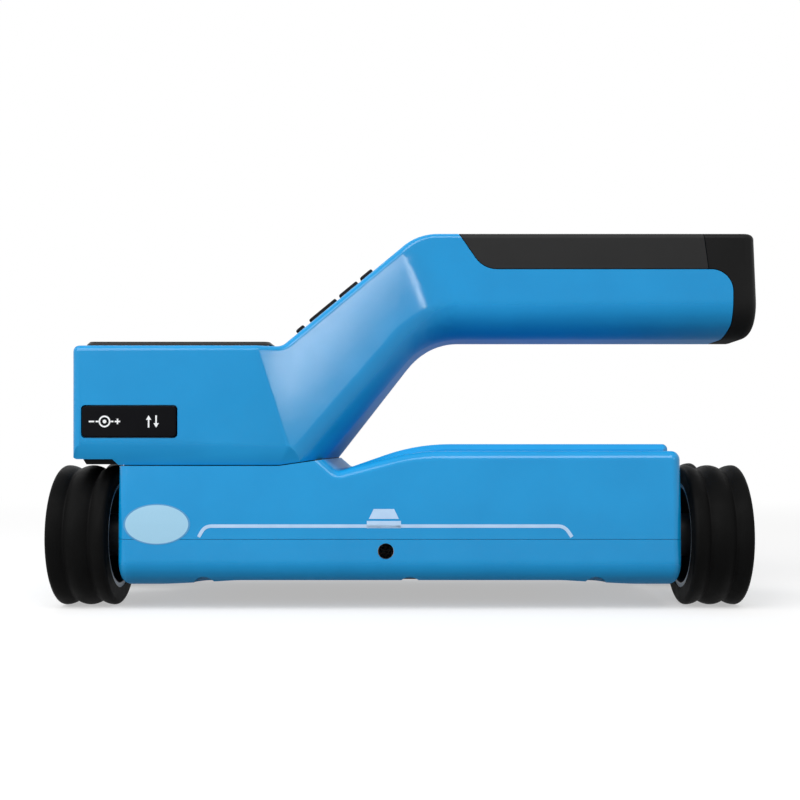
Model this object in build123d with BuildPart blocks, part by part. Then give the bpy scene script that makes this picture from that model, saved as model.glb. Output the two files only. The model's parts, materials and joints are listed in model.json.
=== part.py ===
"""Hand-held concrete wall scanner.

A blue base rolls on four ribbed wheels and holds the detector. A display box, a neck and a handle
stand above it. X runs from the display end to the handle end, Y across the rolling track and Z up
from the floor. The origin lies on the floor, in the middle of the object's outline.
"""

import os
from math import asin, atan, cos, degrees, pi, radians, sin, tan

from build123d import *

os.makedirs("parts", exist_ok=True)

# Overall length, from the outer face of the left wheels to the end of the handle
overall_length = 218.2

# Wheels
wheel_radius = 21.5
lobe_count = 3
lobe_pitch = 7.45
lobe_depth = 1.4
groove_round = 0.5
tyre_shoulder = 1.4
rim_radius = 16.3
rim_thickness = 1.5
rim_inset = 0.3
web_thickness = 3.0
hub_boss_radius = 6.5
hub_rib_count = 6
hub_rib_thickness = 1.6
screw_well = 5.0
wheel_track = 54.0
wheel_gap = 3.3

# Wheel shafts and their bushes
shaft_radius = 3.0
shaft_collar_radius = 5.5
shaft_collar_length = 2.0
shaft_tap_depth = 8.0
hub_screw_radius = 1.5
hub_screw_length = 7.0
hub_screw_head_radius = 3.6
hub_screw_head = 2.2
bush_radius = 5.0
bush_length = 14.0
bush_flange_radius = 6.5
bush_flange = 1.0
block_width = 16.0
block_cover = 4.0
shaft_set = 0.3
running_fit = 0.05
press_fit_gap = 0.02
end_play = 0.3

# Base
base_length = 166.1
base_width = 94.0
base_wall = 2.6
base_side_wall = 3.6
base_low_round = 8.0
base_end_round = 3.0
base_shoulder_round = 2.6
base_side_round = 120.0
lean_z = 28.0
base_lean = 5.5
belly_z = 9.2
foot_drop = 1.6
foot_length = 11.0
foot_ramp = 24.0
foot_round = 40.0
seam_z = 43.0
seam_gap = 0.3
seam_rise = 1.9
seam_rise_run = 13.0
valley_run = 4.1
valley_z = 41.3
valley_round = 2.5
ramp_run = 23.5
ramp_round = 60.0
shoulder_z = 47.4
crown_height = 2.1
crown_width = 66.0
crown_end_inset = 1.2
crown_bevel = 1.6
parting_gap = 0.12

# Display box, key slope, neck and handle
box_overhang = 13.25
box_length = 61.0
box_width = base_width
box_floor_z = 45.0
box_top_z = 78.5
box_corner = 2.5
box_foot_round = 1.2
waist_height = 6.0
waist_depth = 2.6
slope_angle = 43.2
slope_foot_round = 4.0
brow_round = 16.0
handle_top_z = 116.6
handle_height = 32.9
handle_width = 38.0
handle_end_lean = 1.4
handle_end_round = 4.0
under_round = 12.0
top_round = 1.8
neck_foot_run = 60.4
neck_angle = 51.0
knee_round = 22.0
flank_setback = 7.0
flank_lean = 18.0
flank_angle = 25.6
flank_start_round = 3.0
flank_end_round = 30.0
housing_wall = 2.6
panel_seam = 0.25
panel_rim = 1.2
panel_thickness = 2.6
panel_run = 45.0
key_bay_depth = 14.0
key_bay_end = 2.0
neck_wall = 7.0

# Grip, battery cap and battery bay
grip_thickness = 1.2
grip_edge_drop = 11.3
grip_start = 13.3
grip_front_lean = 7.8
grip_front_round = 8.3
grip_seam = 0.25
grip_fit = 0.1
cap_length = 16.2
cap_seam_lean = 1.6
cap_boot = 8.3
cap_boot_round = 7.2
cap_toe = 4.0
cap_fit = 0.25
cap_wall = 2.4
cap_plug = 24.0
cell_diameter = 14.1
cell_length = 50.5
cell_gap = 0.2
cell_nub_radius = 2.6
cell_nub = 1.0
contact_thickness = 0.5
contact_width = 9.0
cable_bore_radius = 3.0

# Display
bezel_margin = 2.4
bezel_side_margin = 5.0
bezel_foot_margin = 2.75
bezel_recess = 1.0
bezel_proud = 1.5
bezel_bevel = 0.8
bezel_corner = 3.0
window_length = 48.0
window_side_margin = 7.0
window_thickness = 1.2
window_lip = 2.0
window_fit = 0.1
screen_thickness = 3.0
screen_fit = 0.2

# Circuit boards
board_thickness = 1.6
main_board_length = 50.0
main_board_side = 6.0
board_boss_radius = 2.2
board_boss_inset = 3.4
board_screw_radius = 1.0
board_screw_head_radius = 1.9
board_screw_head = 1.4
board_screw_bite = 2.4
sounder_radius = 6.0
sounder_height = 6.0
sounder_inset = 17.0

# Keys
key_first = 6.2
key_lengths = (3.0, 10.6, 7.3, 4.8)
key_gaps = (2.2, 1.4, 1.4)
key_column_gap = 1.6
key_edge = 4.6
key_round = 0.9
key_top_round = 0.4
key_proud = 1.4
key_fit = 0.2
key_lip = 0.5
key_lip_thickness = 1.0
key_seat = 0.15
key_travel = 0.8
dome_radius = 1.3
dome_height = 0.7
key_board_margin = 3.0
key_boss_gap = 0.4
key_boss_spread = 20.0

# Ports and their rubber cover
port_cover_length = 27.7
port_cover_height = 9.1
port_cover_end = 3.15
port_cover_z = 56.05
port_cover_thickness = 2.3
port_cover_proud = 0.4
port_cover_corner = 1.2
port_cover_fit = 0.3
port_wall = 4.4
port_wall_margin = 3.0
jack_end = 6.75
jack_barrel_radius = 3.9
jack_bore_radius = 2.8
jack_pin_radius = 1.0
jack_body = 9.0
jack_depth = 12.0
jack_bore_depth = 9.0
usb_end = 20.75
usb_width = 9.0
usb_height = 4.4
usb_shell = 0.5
usb_depth = 9.0
usb_tongue = 1.2
port_fit = 0.15
port_board_height = 13.0
port_board_margin = 0.6

# Guard over the left wheels
guard_thickness = 1.6
guard_side_inset = 7.0
guard_inset = 0.3
guard_bevel = 1.0
guard_step_gap = 0.4

# Detector and its marking lasers
sensor_shift = -4.1
sensor_plate_length = 118.0
sensor_plate_width = 54.0
sensor_plate_recess = 1.2
sensor_plate_proud = 1.6
sensor_plate_corner = 8.0
sensor_plate_bevel = 0.6
coil_length = 109.0
coil_width = 50.0
coil_band = 11.0
coil_height = 8.0
coil_flange = 1.2
coil_groove = 5.0
coil_round = 10.0
winding_gap = 0.1
sensor_board_length = 96.0
sensor_board_width = 40.0
sensor_post_radius = 4.0
sensor_post_spread = 70.0
winding_inset = 0.4
laser_z = 18.0
laser_window_radius = 2.25
laser_window_thickness = 0.8
laser_window_set = 0.7
laser_radius = 2.7
laser_length = 12.0
laser_fit = 0.1
laser_block = 10.0
laser_block_depth = 10.0

# Travel disc and its reader
disc_radius = 8.0
disc_thickness = 0.8
disc_slots = 20
disc_slot_length = 1.8
disc_slot_width = 0.9
disc_slot_inset = 0.4
reader_gap = 3.0
reader_arm = 1.5
reader_width = 9.0
reader_back = 5.0
reader_reach = 2.2
reader_clear = 0.8

# Screws
tray_screw_pitch = 58.0
tray_screw_shift = 3.0
tray_screw_inset = 5.2
tray_pocket_radius = 3.2
tray_pocket_depth = 3.0
tray_screw_radius = 1.5
tray_screw_head_radius = 2.8
tray_screw_head = 1.8
tray_screw_length = 20.0
tray_boss_radius = 4.2
neck_screw_radius = 1.5
neck_screw_head_radius = 2.8
neck_screw_head = 1.8
neck_screw_length = 15.0
neck_boss_radius = 4.0
neck_boss_height = 11.0
neck_screw_left = 22.0
neck_screw_right = 43.5
neck_screw_side_inset = 12.0
screw_fit = 0.15
cable_port_length = 14.0
cable_port_width = 36.0
seal_inset = 0.6
seal_side_inset = 4.0

# Places that follow from the sizes above
left_end = -overall_length / 2
handle_end = overall_length / 2
wheel_width = (lobe_count - 1) * lobe_pitch + 2 * tyre_shoulder
base_left = left_end + wheel_width + wheel_gap
base_right = base_left + base_length
base_mid = (base_left + base_right) / 2
axle_z = wheel_radius
box_left = base_left - box_overhang
slope_foot_x = box_left + box_length
handle_bottom_z = handle_top_z - handle_height
end_tilt = atan(handle_end_lean / handle_height)
end_swell = handle_end_round * (tan(pi / 4 + end_tilt / 2) * sin(end_tilt) + cos(end_tilt) - 1)
heel_x = handle_end + end_swell
neck_foot_x = base_left + neck_foot_run
neck_foot_z = seam_z + seam_gap + seam_rise
knee_x = neck_foot_x + (handle_bottom_z - neck_foot_z) / tan(radians(neck_angle))
brow_x = slope_foot_x + (handle_top_z - box_top_z) / tan(radians(slope_angle))
rise_x = neck_foot_x - seam_rise_run
flank_run = (box_width - handle_width) / 2 / tan(radians(flank_angle))
grip_edge_z = handle_top_z - grip_edge_drop
grip_front = brow_x + grip_start
cap_seam_x = handle_end - cap_length
core_end = handle_end - cap_boot
through = 2 * overall_length
margin = handle_height / 4
cap_seam_top = cap_seam_x - cap_seam_lean * (grip_edge_drop + margin) / grip_edge_drop
bezel_width = box_width - 2 * bezel_side_margin
window_width = bezel_width - 2 * window_side_margin
main_board_width = window_width + 2 * main_board_side
sounder_y = main_board_width / 2 - sounder_inset
guard_width = box_width - 2 * guard_side_inset
neck_screw_spread = box_width - 2 * neck_screw_side_inset
sensor_x = base_mid + sensor_shift

slope_run_x = cos(radians(slope_angle))
slope_run_z = sin(radians(slope_angle))
slope = Plane(
    origin=(slope_foot_x, 0, box_top_z),
    x_dir=(slope_run_x, 0, slope_run_z),
    z_dir=(-slope_run_z, 0, slope_run_x),
)


def slope_point(run, height):
    """A point of the side view, by its run up the key slope and its height above it."""
    return (
        slope_foot_x + run * slope_run_x - height * slope_run_z,
        box_top_z + run * slope_run_z + height * slope_run_x,
    )


def slope_half_width(run, height=0.0):
    """Half the housing's width where a point of the key slope lies, between its leaning flanks."""
    x, z = slope_point(run, height)
    flank_start = slope_foot_x - flank_setback - (z - box_top_z) * tan(radians(flank_lean))
    return box_width / 2 - (x - flank_start) * (box_width - handle_width) / 2 / flank_run


# Outer form of the display box, neck and handle, shared by the pieces that it is parted into
with BuildSketch(Plane.XZ) as upper_side:
    with BuildLine():
        FilletPolyline(
            (box_left, box_floor_z),
            (box_left, box_top_z),
            (slope_foot_x, box_top_z),
            (brow_x, handle_top_z),
            (handle_end, handle_top_z),
            (handle_end, handle_bottom_z),
            (knee_x, handle_bottom_z),
            (neck_foot_x, neck_foot_z),
            (rise_x, seam_z + seam_gap),
            (base_left, seam_z + seam_gap),
            (base_left - (box_floor_z - seam_z - seam_gap), box_floor_z),
            radius=[
                box_foot_round,
                0,
                slope_foot_round,
                brow_round,
                0,
                0,
                knee_round,
                0,
                0,
                0,
                0,
            ],
            close=True,
        )
    make_face()


def flank_plan(inset):
    """Plan outline at floor level of the box that narrows to the handle."""
    start = slope_foot_x - flank_setback + box_top_z * tan(radians(flank_lean))
    with BuildSketch() as plan:
        with BuildLine():
            FilletPolyline(
                (-through, -box_width / 2),
                (start, -box_width / 2),
                (start + flank_run, -handle_width / 2),
                (through, -handle_width / 2),
                (through, handle_width / 2),
                (start + flank_run, handle_width / 2),
                (start, box_width / 2),
                (-through, box_width / 2),
                radius=[0, flank_start_round, flank_end_round, 0, 0, flank_end_round, flank_start_round, 0],
                close=True,
            )
        make_face()
        if inset:
            offset(amount=-inset, kind=Kind.INTERSECTION)
    return plan.sketch


flank_axis = (-tan(radians(flank_lean)), 0, 1)
outer_flanks = flank_plan(0)
inner_flanks = flank_plan(housing_wall)

with BuildPart() as upper_form:
    extrude(upper_side.sketch, amount=box_width, both=True)
    extrude(outer_flanks, amount=through, dir=flank_axis, mode=Mode.INTERSECT)
    with BuildSketch(Plane.XY):
        with BuildLine():
            FilletPolyline(
                (box_left, -box_width / 2),
                (through, -box_width / 2),
                (through, box_width / 2),
                (box_left, box_width / 2),
                radius=[box_corner, 0, 0, box_corner],
                close=True,
            )
        make_face()
    extrude(amount=through, mode=Mode.INTERSECT)
    with BuildSketch(Plane.YZ):
        with BuildLine():
            Polyline(
                (-box_width / 2 + waist_depth, seam_z),
                (-box_width / 2, seam_z + waist_height),
                (-box_width / 2, through),
                (box_width / 2, through),
                (box_width / 2, seam_z + waist_height),
                (box_width / 2 - waist_depth, seam_z),
                close=True,
            )
        make_face()
    extrude(amount=through, both=True, mode=Mode.INTERSECT)
    long_edges = upper_form.edges().filter_by(Axis.X)
    under_low = handle_bottom_z - top_round
    under_high = handle_bottom_z + top_round
    fillet(long_edges.filter_by_position(Axis.Z, under_low, under_high), under_round)
    fillet(upper_form.edges().filter_by(Axis.X).group_by(Axis.Z)[-1], top_round)


def panel_region(growth):
    """Side view of the front panel: the skin of the box top and of the key slope."""
    corner = panel_thickness * tan(radians(slope_angle / 2))
    high = slope_point(panel_run, margin)
    with BuildSketch(Plane.XZ) as region:
        with BuildLine():
            Polyline(
                (box_left + panel_rim, box_top_z - panel_thickness),
                (slope_foot_x + corner, box_top_z - panel_thickness),
                slope_point(panel_run, -panel_thickness),
                high,
                (box_left + panel_rim, high[1]),
                close=True,
            )
        make_face()
        if growth:
            offset(amount=growth, kind=Kind.INTERSECTION)
    return region.sketch


def grip_region(growth):
    """Side view of the soft grip, from its slanted front to the battery cap."""
    front_rise = margin * grip_front_lean / grip_edge_drop
    with BuildSketch(Plane.XZ) as region:
        with BuildLine():
            FilletPolyline(
                (grip_front - front_rise, handle_top_z + margin),
                (grip_front + grip_front_lean, grip_edge_z),
                (cap_seam_x - grip_seam, grip_edge_z),
                (cap_seam_top - grip_seam, handle_top_z + margin),
                radius=[0, grip_front_round, 0, 0],
                close=True,
            )
        make_face()
        if growth:
            offset(amount=growth, kind=Kind.INTERSECTION)
    return region.sketch


def cap_region(growth):
    """Side view of the battery cap, which wraps round the handle end like a boot."""
    with BuildSketch(Plane.XZ) as region:
        with BuildLine():
            FilletPolyline(
                (cap_seam_top, handle_top_z + margin),
                (cap_seam_x, grip_edge_z),
                (core_end, grip_edge_z),
                (core_end, handle_bottom_z + cap_toe),
                (core_end - cap_toe, handle_bottom_z - margin),
                (handle_end + margin, handle_bottom_z - margin),
                (handle_end + margin, handle_top_z + margin),
                radius=[0, 0, cap_boot_round, cap_boot_round, 0, 0, 0],
                close=True,
            )
        make_face()
        if growth:
            offset(amount=growth, kind=Kind.INTERSECTION)
    return region.sketch


panel_skin = panel_region(0)
panel_cut = panel_region(panel_seam)
grip_skin = grip_region(0)
grip_cut = grip_region(grip_seam)
cap_skin = cap_region(0)
cap_cut = cap_region(grip_seam)

# Core of the handle under the grip and inside the cap
core_z = (handle_bottom_z + handle_top_z) / 2


def core_block(growth):
    """The handle's core, grown by a fit where another piece goes over it."""
    with BuildPart() as core:
        with BuildSketch(Plane.YZ.offset(grip_front - grip_front_lean)) as section:
            with Locations((0, core_z)):
                Rectangle(
                    handle_width - 2 * (grip_thickness - growth),
                    handle_height - 2 * (grip_thickness - growth),
                )
            fillet(section.vertices().group_by(Axis.Y)[0], under_round - grip_thickness + growth)
            fillet(section.vertices().group_by(Axis.Y)[-1], top_round)
        extrude(amount=core_end + growth - grip_front + grip_front_lean)
    return core.part


# Outer form of the battery cap: the handle's section with a leaning, rounded end
end_plane = Plane(
    origin=(heel_x, 0, handle_bottom_z),
    x_dir=(0, 1, 0),
    z_dir=(-cos(end_tilt), 0, -sin(end_tilt)),
)
with BuildPart() as cap_form:
    with BuildSketch(Plane.YZ.offset(cap_seam_top)) as cap_section:
        with Locations((0, core_z)):
            Rectangle(handle_width, handle_height)
        fillet(cap_section.vertices().group_by(Axis.Y)[0], under_round)
    extrude(amount=heel_x + margin - cap_seam_top)
    split(bisect_by=end_plane, keep=Keep.TOP)
    end_edges = cap_form.faces().sort_by(Axis.X)[-1].edges()
    fillet(end_edges.sort_by(Axis.Z)[:-1], handle_end_round)
    fillet(cap_form.edges().filter_by(Axis.X).group_by(Axis.Z)[-1], top_round)

core_form = core_block(0)
grip_core = core_block(grip_fit)
cap_core = core_block(cap_fit)

# Battery bay, open at the handle end, with two rows of two cells
cell_step = cell_diameter + cell_gap
bay_size = 2 * cell_diameter + 3 * cell_gap
cap_contact_x = core_end + cap_fit - contact_thickness
cell_end = cap_contact_x - cell_gap
bay_start = cell_end - cell_length - contact_thickness

# Heights inside the display box
bezel_left = box_left + bezel_margin
bezel_right = slope_foot_x - bezel_foot_margin
screen_x = (bezel_left + bezel_right) / 2
bezel_floor_z = box_top_z - bezel_recess
panel_under_z = box_top_z - panel_thickness
main_board_top_z = bezel_floor_z - screen_thickness
main_board_under_z = main_board_top_z - board_thickness
main_boss_x = main_board_length - 2 * board_boss_inset
main_boss_y = main_board_width - 2 * board_boss_inset

# Depths under the key slope
key_lip_top = panel_thickness + key_seat
dome_top = key_lip_top + key_lip_thickness + key_travel + key_seat
key_board_top = dome_top + dome_height
key_board_under = key_board_top + board_thickness
key_ends = [key_first + sum(key_lengths[: row + 1]) + sum(key_gaps[:row]) for row in range(len(key_lengths))]
key_names = (
    ("key_menu", "key_back"),
    ("key_left", "key_ok", "key_right"),
    ("key_store", "key_light"),
    ("key_power",),
)

# Ports in the front wall of the display box
front_y = -box_width / 2
port_x = box_left + port_cover_end + port_cover_length / 2
port_floor_y = front_y - port_cover_proud + port_cover_thickness + port_cover_fit
port_back_y = port_floor_y + port_wall
jack_x = box_left + port_cover_end + jack_end
usb_x = box_left + port_cover_end + usb_end
port_wall_top_z = port_cover_z + port_cover_height / 2 + port_wall_margin

# Screws through the base's roof into the housing's floor
cavity_floor_z = box_floor_z + housing_wall
base_roof_z = seam_z - base_wall
neck_screw_places = [
    (base_left + run, side * neck_screw_spread / 2)
    for run in (neck_screw_left, neck_screw_right)
    for side in (-1, 1)
]
cable_port_x = base_left + (neck_screw_left + neck_screw_right) / 2


def key_sides(row, column, run):
    """The two sides of a key at one run: its row's share between the tapering panel edges."""
    half = slope_half_width(run) - key_edge
    pitch = (2 * half + key_column_gap) / len(key_names[row])
    low = -half + column * pitch
    return low, low + pitch - key_column_gap


def key_outline(row, column, depth, growth):
    """One key's outline at a depth under the slope, grown by a fit or a lip."""
    foot = key_ends[row] - key_lengths[row]
    head = key_ends[row]
    foot_sides = key_sides(row, column, foot)
    head_sides = key_sides(row, column, head)
    with BuildSketch(slope.offset(-depth)) as outline:
        with BuildLine():
            FilletPolyline(
                (foot, foot_sides[0]),
                (head, head_sides[0]),
                (head, head_sides[1]),
                (foot, foot_sides[1]),
                radius=key_round,
                close=True,
            )
        make_face()
        if growth:
            offset(amount=growth)
    return outline.sketch


key_places = [(row, column) for row, names in enumerate(key_names) for column in range(len(names))]
key_holes = [key_outline(row, column, panel_thickness, key_fit) for row, column in key_places]
key_boss_low = key_first - key_lip - key_boss_gap - board_boss_radius
key_boss_high = panel_run - key_bay_end - key_boss_gap - board_boss_radius
key_boss_places = [
    (run, side * key_boss_spread / 2) for run in (key_boss_low, key_boss_high) for side in (-1, 1)
]

# Recess inside the housing's rim that takes the front panel
with BuildPart() as panel_recess:
    extrude(panel_cut, amount=through, both=True)
    extrude(flank_plan(panel_rim - panel_seam), amount=through, dir=flank_axis, mode=Mode.INTERSECT)

# Front panel: box top and key slope in one skin, with board bosses under it
with BuildPart() as front_panel:
    add(upper_form.part)
    extrude(panel_skin, amount=through, both=True, mode=Mode.INTERSECT)
    extrude(flank_plan(panel_rim), amount=through, dir=flank_axis, mode=Mode.INTERSECT)
    with BuildSketch(Plane.XY.offset(bezel_floor_z)):
        with Locations((screen_x, 0)):
            RectangleRounded(bezel_right - bezel_left, bezel_width, bezel_corner)
    extrude(amount=margin, mode=Mode.SUBTRACT)
    with BuildSketch(Plane.XY.offset(panel_under_z)):
        with Locations((screen_x, 0)):
            Rectangle(window_length + 2 * screen_fit, window_width + 2 * screen_fit)
    extrude(amount=margin, mode=Mode.SUBTRACT)
    for hole in key_holes:
        extrude(hole, amount=margin, mode=Mode.SUBTRACT)
    with BuildSketch(Plane.XY.offset(main_board_top_z)):
        with Locations((screen_x, 0)):
            with GridLocations(main_boss_x, main_boss_y, 2, 2):
                Circle(board_boss_radius)
    extrude(amount=panel_under_z - main_board_top_z)
    with BuildSketch(slope.offset(-key_board_top)):
        with Locations(*key_boss_places):
            Circle(board_boss_radius)
    extrude(amount=key_board_top - panel_thickness)
    with BuildSketch(Plane.XY.offset(main_board_top_z)):
        with Locations((screen_x, 0)):
            with GridLocations(main_boss_x, main_boss_y, 2, 2):
                Circle(board_screw_radius + screw_fit)
    extrude(amount=board_screw_bite + screw_fit, mode=Mode.SUBTRACT)
    with BuildSketch(slope.offset(-key_board_top)):
        with Locations(*key_boss_places):
            Circle(board_screw_radius + screw_fit)
    extrude(amount=board_screw_bite + screw_fit, mode=Mode.SUBTRACT)
front_panel.part.label = "front_panel"
export_step(front_panel.part, "parts/front_panel.step")

# Hollow of the display box and of the bay behind the keys
with BuildPart() as housing_hollow:
    with BuildSketch(Plane.XZ):
        with BuildLine():
            Polyline(
                (box_left + housing_wall, cavity_floor_z),
                (box_left + housing_wall, box_top_z),
                (slope_foot_x, box_top_z),
                slope_point(panel_run - key_bay_end, 0),
                slope_point(panel_run - key_bay_end, -key_bay_depth),
                (neck_foot_x - neck_wall, cavity_floor_z),
                close=True,
            )
        make_face()
    extrude(amount=box_width, both=True)
    extrude(inner_flanks, amount=through, dir=flank_axis, mode=Mode.INTERSECT)
    with BuildSketch(Plane.XY.offset(cavity_floor_z)):
        with Locations((port_x, port_back_y - port_wall / 2)):
            Rectangle(port_cover_length + 2 * port_wall_margin, port_wall)
    extrude(amount=port_wall_top_z - cavity_floor_z, mode=Mode.SUBTRACT)
    with BuildSketch(Plane.XY.offset(cavity_floor_z)):
        with Locations(*neck_screw_places):
            Circle(neck_boss_radius)
    extrude(amount=neck_boss_height, mode=Mode.SUBTRACT)

# Recess that takes the grip and the cap down to the handle's core
with BuildPart() as grip_recess:
    extrude(grip_cut, amount=handle_width, both=True)
    extrude(cap_cut, amount=handle_width, both=True)
    add(core_form, mode=Mode.SUBTRACT)

# Upper housing: display box walls, neck and handle
with BuildPart() as upper_housing:
    add(upper_form.part)
    add(panel_recess.part, mode=Mode.SUBTRACT)
    add(grip_recess.part, mode=Mode.SUBTRACT)
    add(housing_hollow.part, mode=Mode.SUBTRACT)
    with BuildSketch(Plane.YZ.offset(bay_start)):
        with Locations((0, core_z)):
            RectangleRounded(bay_size, bay_size, cell_diameter / 2)
    extrude(amount=through, mode=Mode.SUBTRACT)
    with BuildSketch(Plane.YZ.offset(bay_start)):
        with Locations((0, core_z)):
            Circle(cable_bore_radius)
    extrude(amount=-(bay_start - slope_point(panel_run, -key_bay_depth)[0] + margin), mode=Mode.SUBTRACT)
    with BuildSketch(Plane.XZ.offset(-front_y)):
        with Locations((port_x, port_cover_z)):
            RectangleRounded(
                port_cover_length + 2 * port_cover_fit,
                port_cover_height + 2 * port_cover_fit,
                port_cover_corner,
            )
    extrude(amount=front_y - port_floor_y, mode=Mode.SUBTRACT)
    with BuildSketch(Plane.XZ.offset(-port_floor_y)):
        with Locations((jack_x, port_cover_z)):
            Circle(jack_barrel_radius + port_fit)
        with Locations((usb_x, port_cover_z)):
            Rectangle(usb_width + 2 * port_fit, usb_height + 2 * port_fit)
    extrude(amount=-port_wall, mode=Mode.SUBTRACT)
    with BuildSketch(Plane.XY.offset(seam_z)):
        with Locations(*neck_screw_places):
            Circle(neck_screw_radius + screw_fit)
    extrude(amount=neck_screw_length - base_wall + neck_screw_radius, mode=Mode.SUBTRACT)
    with BuildSketch(Plane.XY.offset(seam_z)):
        with Locations((cable_port_x, 0)):
            Rectangle(cable_port_length, cable_port_width)
    extrude(amount=cavity_floor_z - seam_z, mode=Mode.SUBTRACT)
upper_housing.part.label = "upper_housing"
export_step(upper_housing.part, "parts/upper_housing.step")

# Soft grip over the handle's core
with BuildPart() as handle_grip:
    add(upper_form.part)
    extrude(grip_skin, amount=handle_width, both=True, mode=Mode.INTERSECT)
    add(grip_core, mode=Mode.SUBTRACT)
handle_grip.part.label = "handle_grip"
export_step(handle_grip.part, "parts/handle_grip.step")

# Battery cap: a boot that slides off the handle end, with a plug that presses on the cells
with BuildPart() as battery_cap:
    add(cap_form.part)
    extrude(cap_skin, amount=handle_width, both=True, mode=Mode.INTERSECT)
    add(cap_core, mode=Mode.SUBTRACT)
    with BuildSketch(Plane.YZ.offset(core_end)):
        with Locations((0, core_z)):
            RectangleRounded(bay_size, bay_size, cell_diameter / 2)
            Rectangle(cap_plug, cap_plug, mode=Mode.SUBTRACT)
    extrude(amount=cap_boot - handle_end_lean - cap_wall, mode=Mode.SUBTRACT)
battery_cap.part.label = "battery_cap"
export_step(battery_cap.part, "parts/battery_cap.step")

# Four battery cells, the two of each pair turned end for end
with BuildPart() as battery_cells:
    for side in (-1, 1):
        for level in (-1, 1):
            place = (side * cell_step / 2, core_z + level * cell_step / 2)
            nub_outwards = side * level < 0
            can_end = cell_end - cell_nub if nub_outwards else cell_end
            nub_end = cell_end if nub_outwards else cell_end - cell_length + cell_nub
            with BuildSketch(Plane.YZ.offset(can_end)):
                with Locations(place):
                    Circle(cell_diameter / 2)
            extrude(amount=cell_nub - cell_length)
            with BuildSketch(Plane.YZ.offset(nub_end)):
                with Locations(place):
                    Circle(cell_nub_radius)
            extrude(amount=-cell_nub)
battery_cells.part.label = "battery_cells"
export_step(battery_cells.part, "parts/battery_cells.step")

# Inner contacts: a bridge under the lower cells and one plate for each upper cell
with BuildPart() as battery_contacts:
    with BuildSketch(Plane.YZ.offset(bay_start)):
        with Locations((0, core_z - cell_step / 2)):
            Rectangle(cell_step + contact_width, contact_width)
        with Locations((-cell_step / 2, core_z + cell_step / 2), (cell_step / 2, core_z + cell_step / 2)):
            Rectangle(contact_width, contact_width)
    extrude(amount=contact_thickness)
battery_contacts.part.label = "battery_contacts"
export_step(battery_contacts.part, "parts/battery_contacts.step")

# Two bridges on the plug of the battery cap
with BuildPart() as cap_contacts:
    with BuildSketch(Plane.YZ.offset(cap_contact_x)):
        with Locations((-cell_step / 2, core_z), (cell_step / 2, core_z)):
            Rectangle(contact_width, cell_step + contact_width)
    extrude(amount=contact_thickness)
cap_contacts.part.label = "cap_contacts"
export_step(cap_contacts.part, "parts/cap_contacts.step")

# Display frame, with a rebate under its lip for the window
with BuildPart() as display_bezel:
    with BuildSketch(Plane.XY.offset(bezel_floor_z)):
        with Locations((screen_x, 0)):
            RectangleRounded(
                bezel_right - bezel_left - 2 * window_fit,
                bezel_width - 2 * window_fit,
                bezel_corner - window_fit,
            )
    extrude(amount=bezel_recess + bezel_proud)
    chamfer(display_bezel.faces().sort_by(Axis.Z)[-1].edges(), bezel_bevel)
    with BuildSketch(Plane.XY.offset(bezel_floor_z)):
        with Locations((screen_x, 0)):
            Rectangle(window_length - 2 * window_lip, window_width - 2 * window_lip)
    extrude(amount=bezel_recess + bezel_proud, mode=Mode.SUBTRACT)
    with BuildSketch(Plane.XY.offset(bezel_floor_z)):
        with Locations((screen_x, 0)):
            Rectangle(window_length + 2 * window_fit, window_width + 2 * window_fit)
    extrude(amount=window_thickness + window_fit, mode=Mode.SUBTRACT)
display_bezel.part.label = "display_bezel"
export_step(display_bezel.part, "parts/display_bezel.step")

with BuildPart() as display_window:
    with BuildSketch(Plane.XY.offset(bezel_floor_z)):
        with Locations((screen_x, 0)):
            Rectangle(window_length, window_width)
    extrude(amount=window_thickness)
display_window.part.label = "display_window"
export_step(display_window.part, "parts/display_window.step")

with BuildPart() as screen_module:
    with BuildSketch(Plane.XY.offset(main_board_top_z)):
        with Locations((screen_x, 0)):
            Rectangle(window_length, window_width)
    extrude(amount=screen_thickness)
screen_module.part.label = "screen_module"
export_step(screen_module.part, "parts/screen_module.step")

# Main board under the screen, and the sounder below it
with BuildPart() as main_board:
    with BuildSketch(Plane.XY.offset(main_board_under_z)):
        with Locations((screen_x, 0)):
            RectangleRounded(main_board_length, main_board_width, board_boss_inset)
            with GridLocations(main_boss_x, main_boss_y, 2, 2):
                Circle(board_screw_radius + screw_fit, mode=Mode.SUBTRACT)
    extrude(amount=board_thickness)
main_board.part.label = "main_board"
export_step(main_board.part, "parts/main_board.step")

with BuildPart() as sounder:
    with BuildSketch(Plane.XY.offset(main_board_under_z)):
        with Locations((screen_x, sounder_y)):
            Circle(sounder_radius)
    extrude(amount=-sounder_height)
sounder.part.label = "sounder"
export_step(sounder.part, "parts/sounder.step")

# Keys: rubber caps with a lip that stops them under the panel
for row, names in enumerate(key_names):
    for column, name in enumerate(names):
        cap = key_outline(row, column, key_lip_top, 0)
        lip = key_outline(row, column, key_lip_top, key_lip)
        with BuildPart() as key:
            extrude(cap, amount=key_lip_top + key_proud)
            fillet(key.faces().sort_by(Axis(slope.origin, slope.z_dir))[-1].edges(), key_top_round)
            extrude(lip, amount=-key_lip_thickness)
        key.part.label = name
        export_step(key.part, f"parts/{name}.step")

key_centres = [
    (
        key_ends[row] - key_lengths[row] / 2,
        sum(key_sides(row, column, key_ends[row] - key_lengths[row] / 2)) / 2,
    )
    for row, column in key_places
]

with BuildPart() as key_domes:
    with BuildSketch(slope.offset(-key_board_top)):
        with Locations(*key_centres):
            Circle(dome_radius)
    extrude(amount=dome_height)
key_domes.part.label = "key_domes"
export_step(key_domes.part, "parts/key_domes.step")

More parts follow.
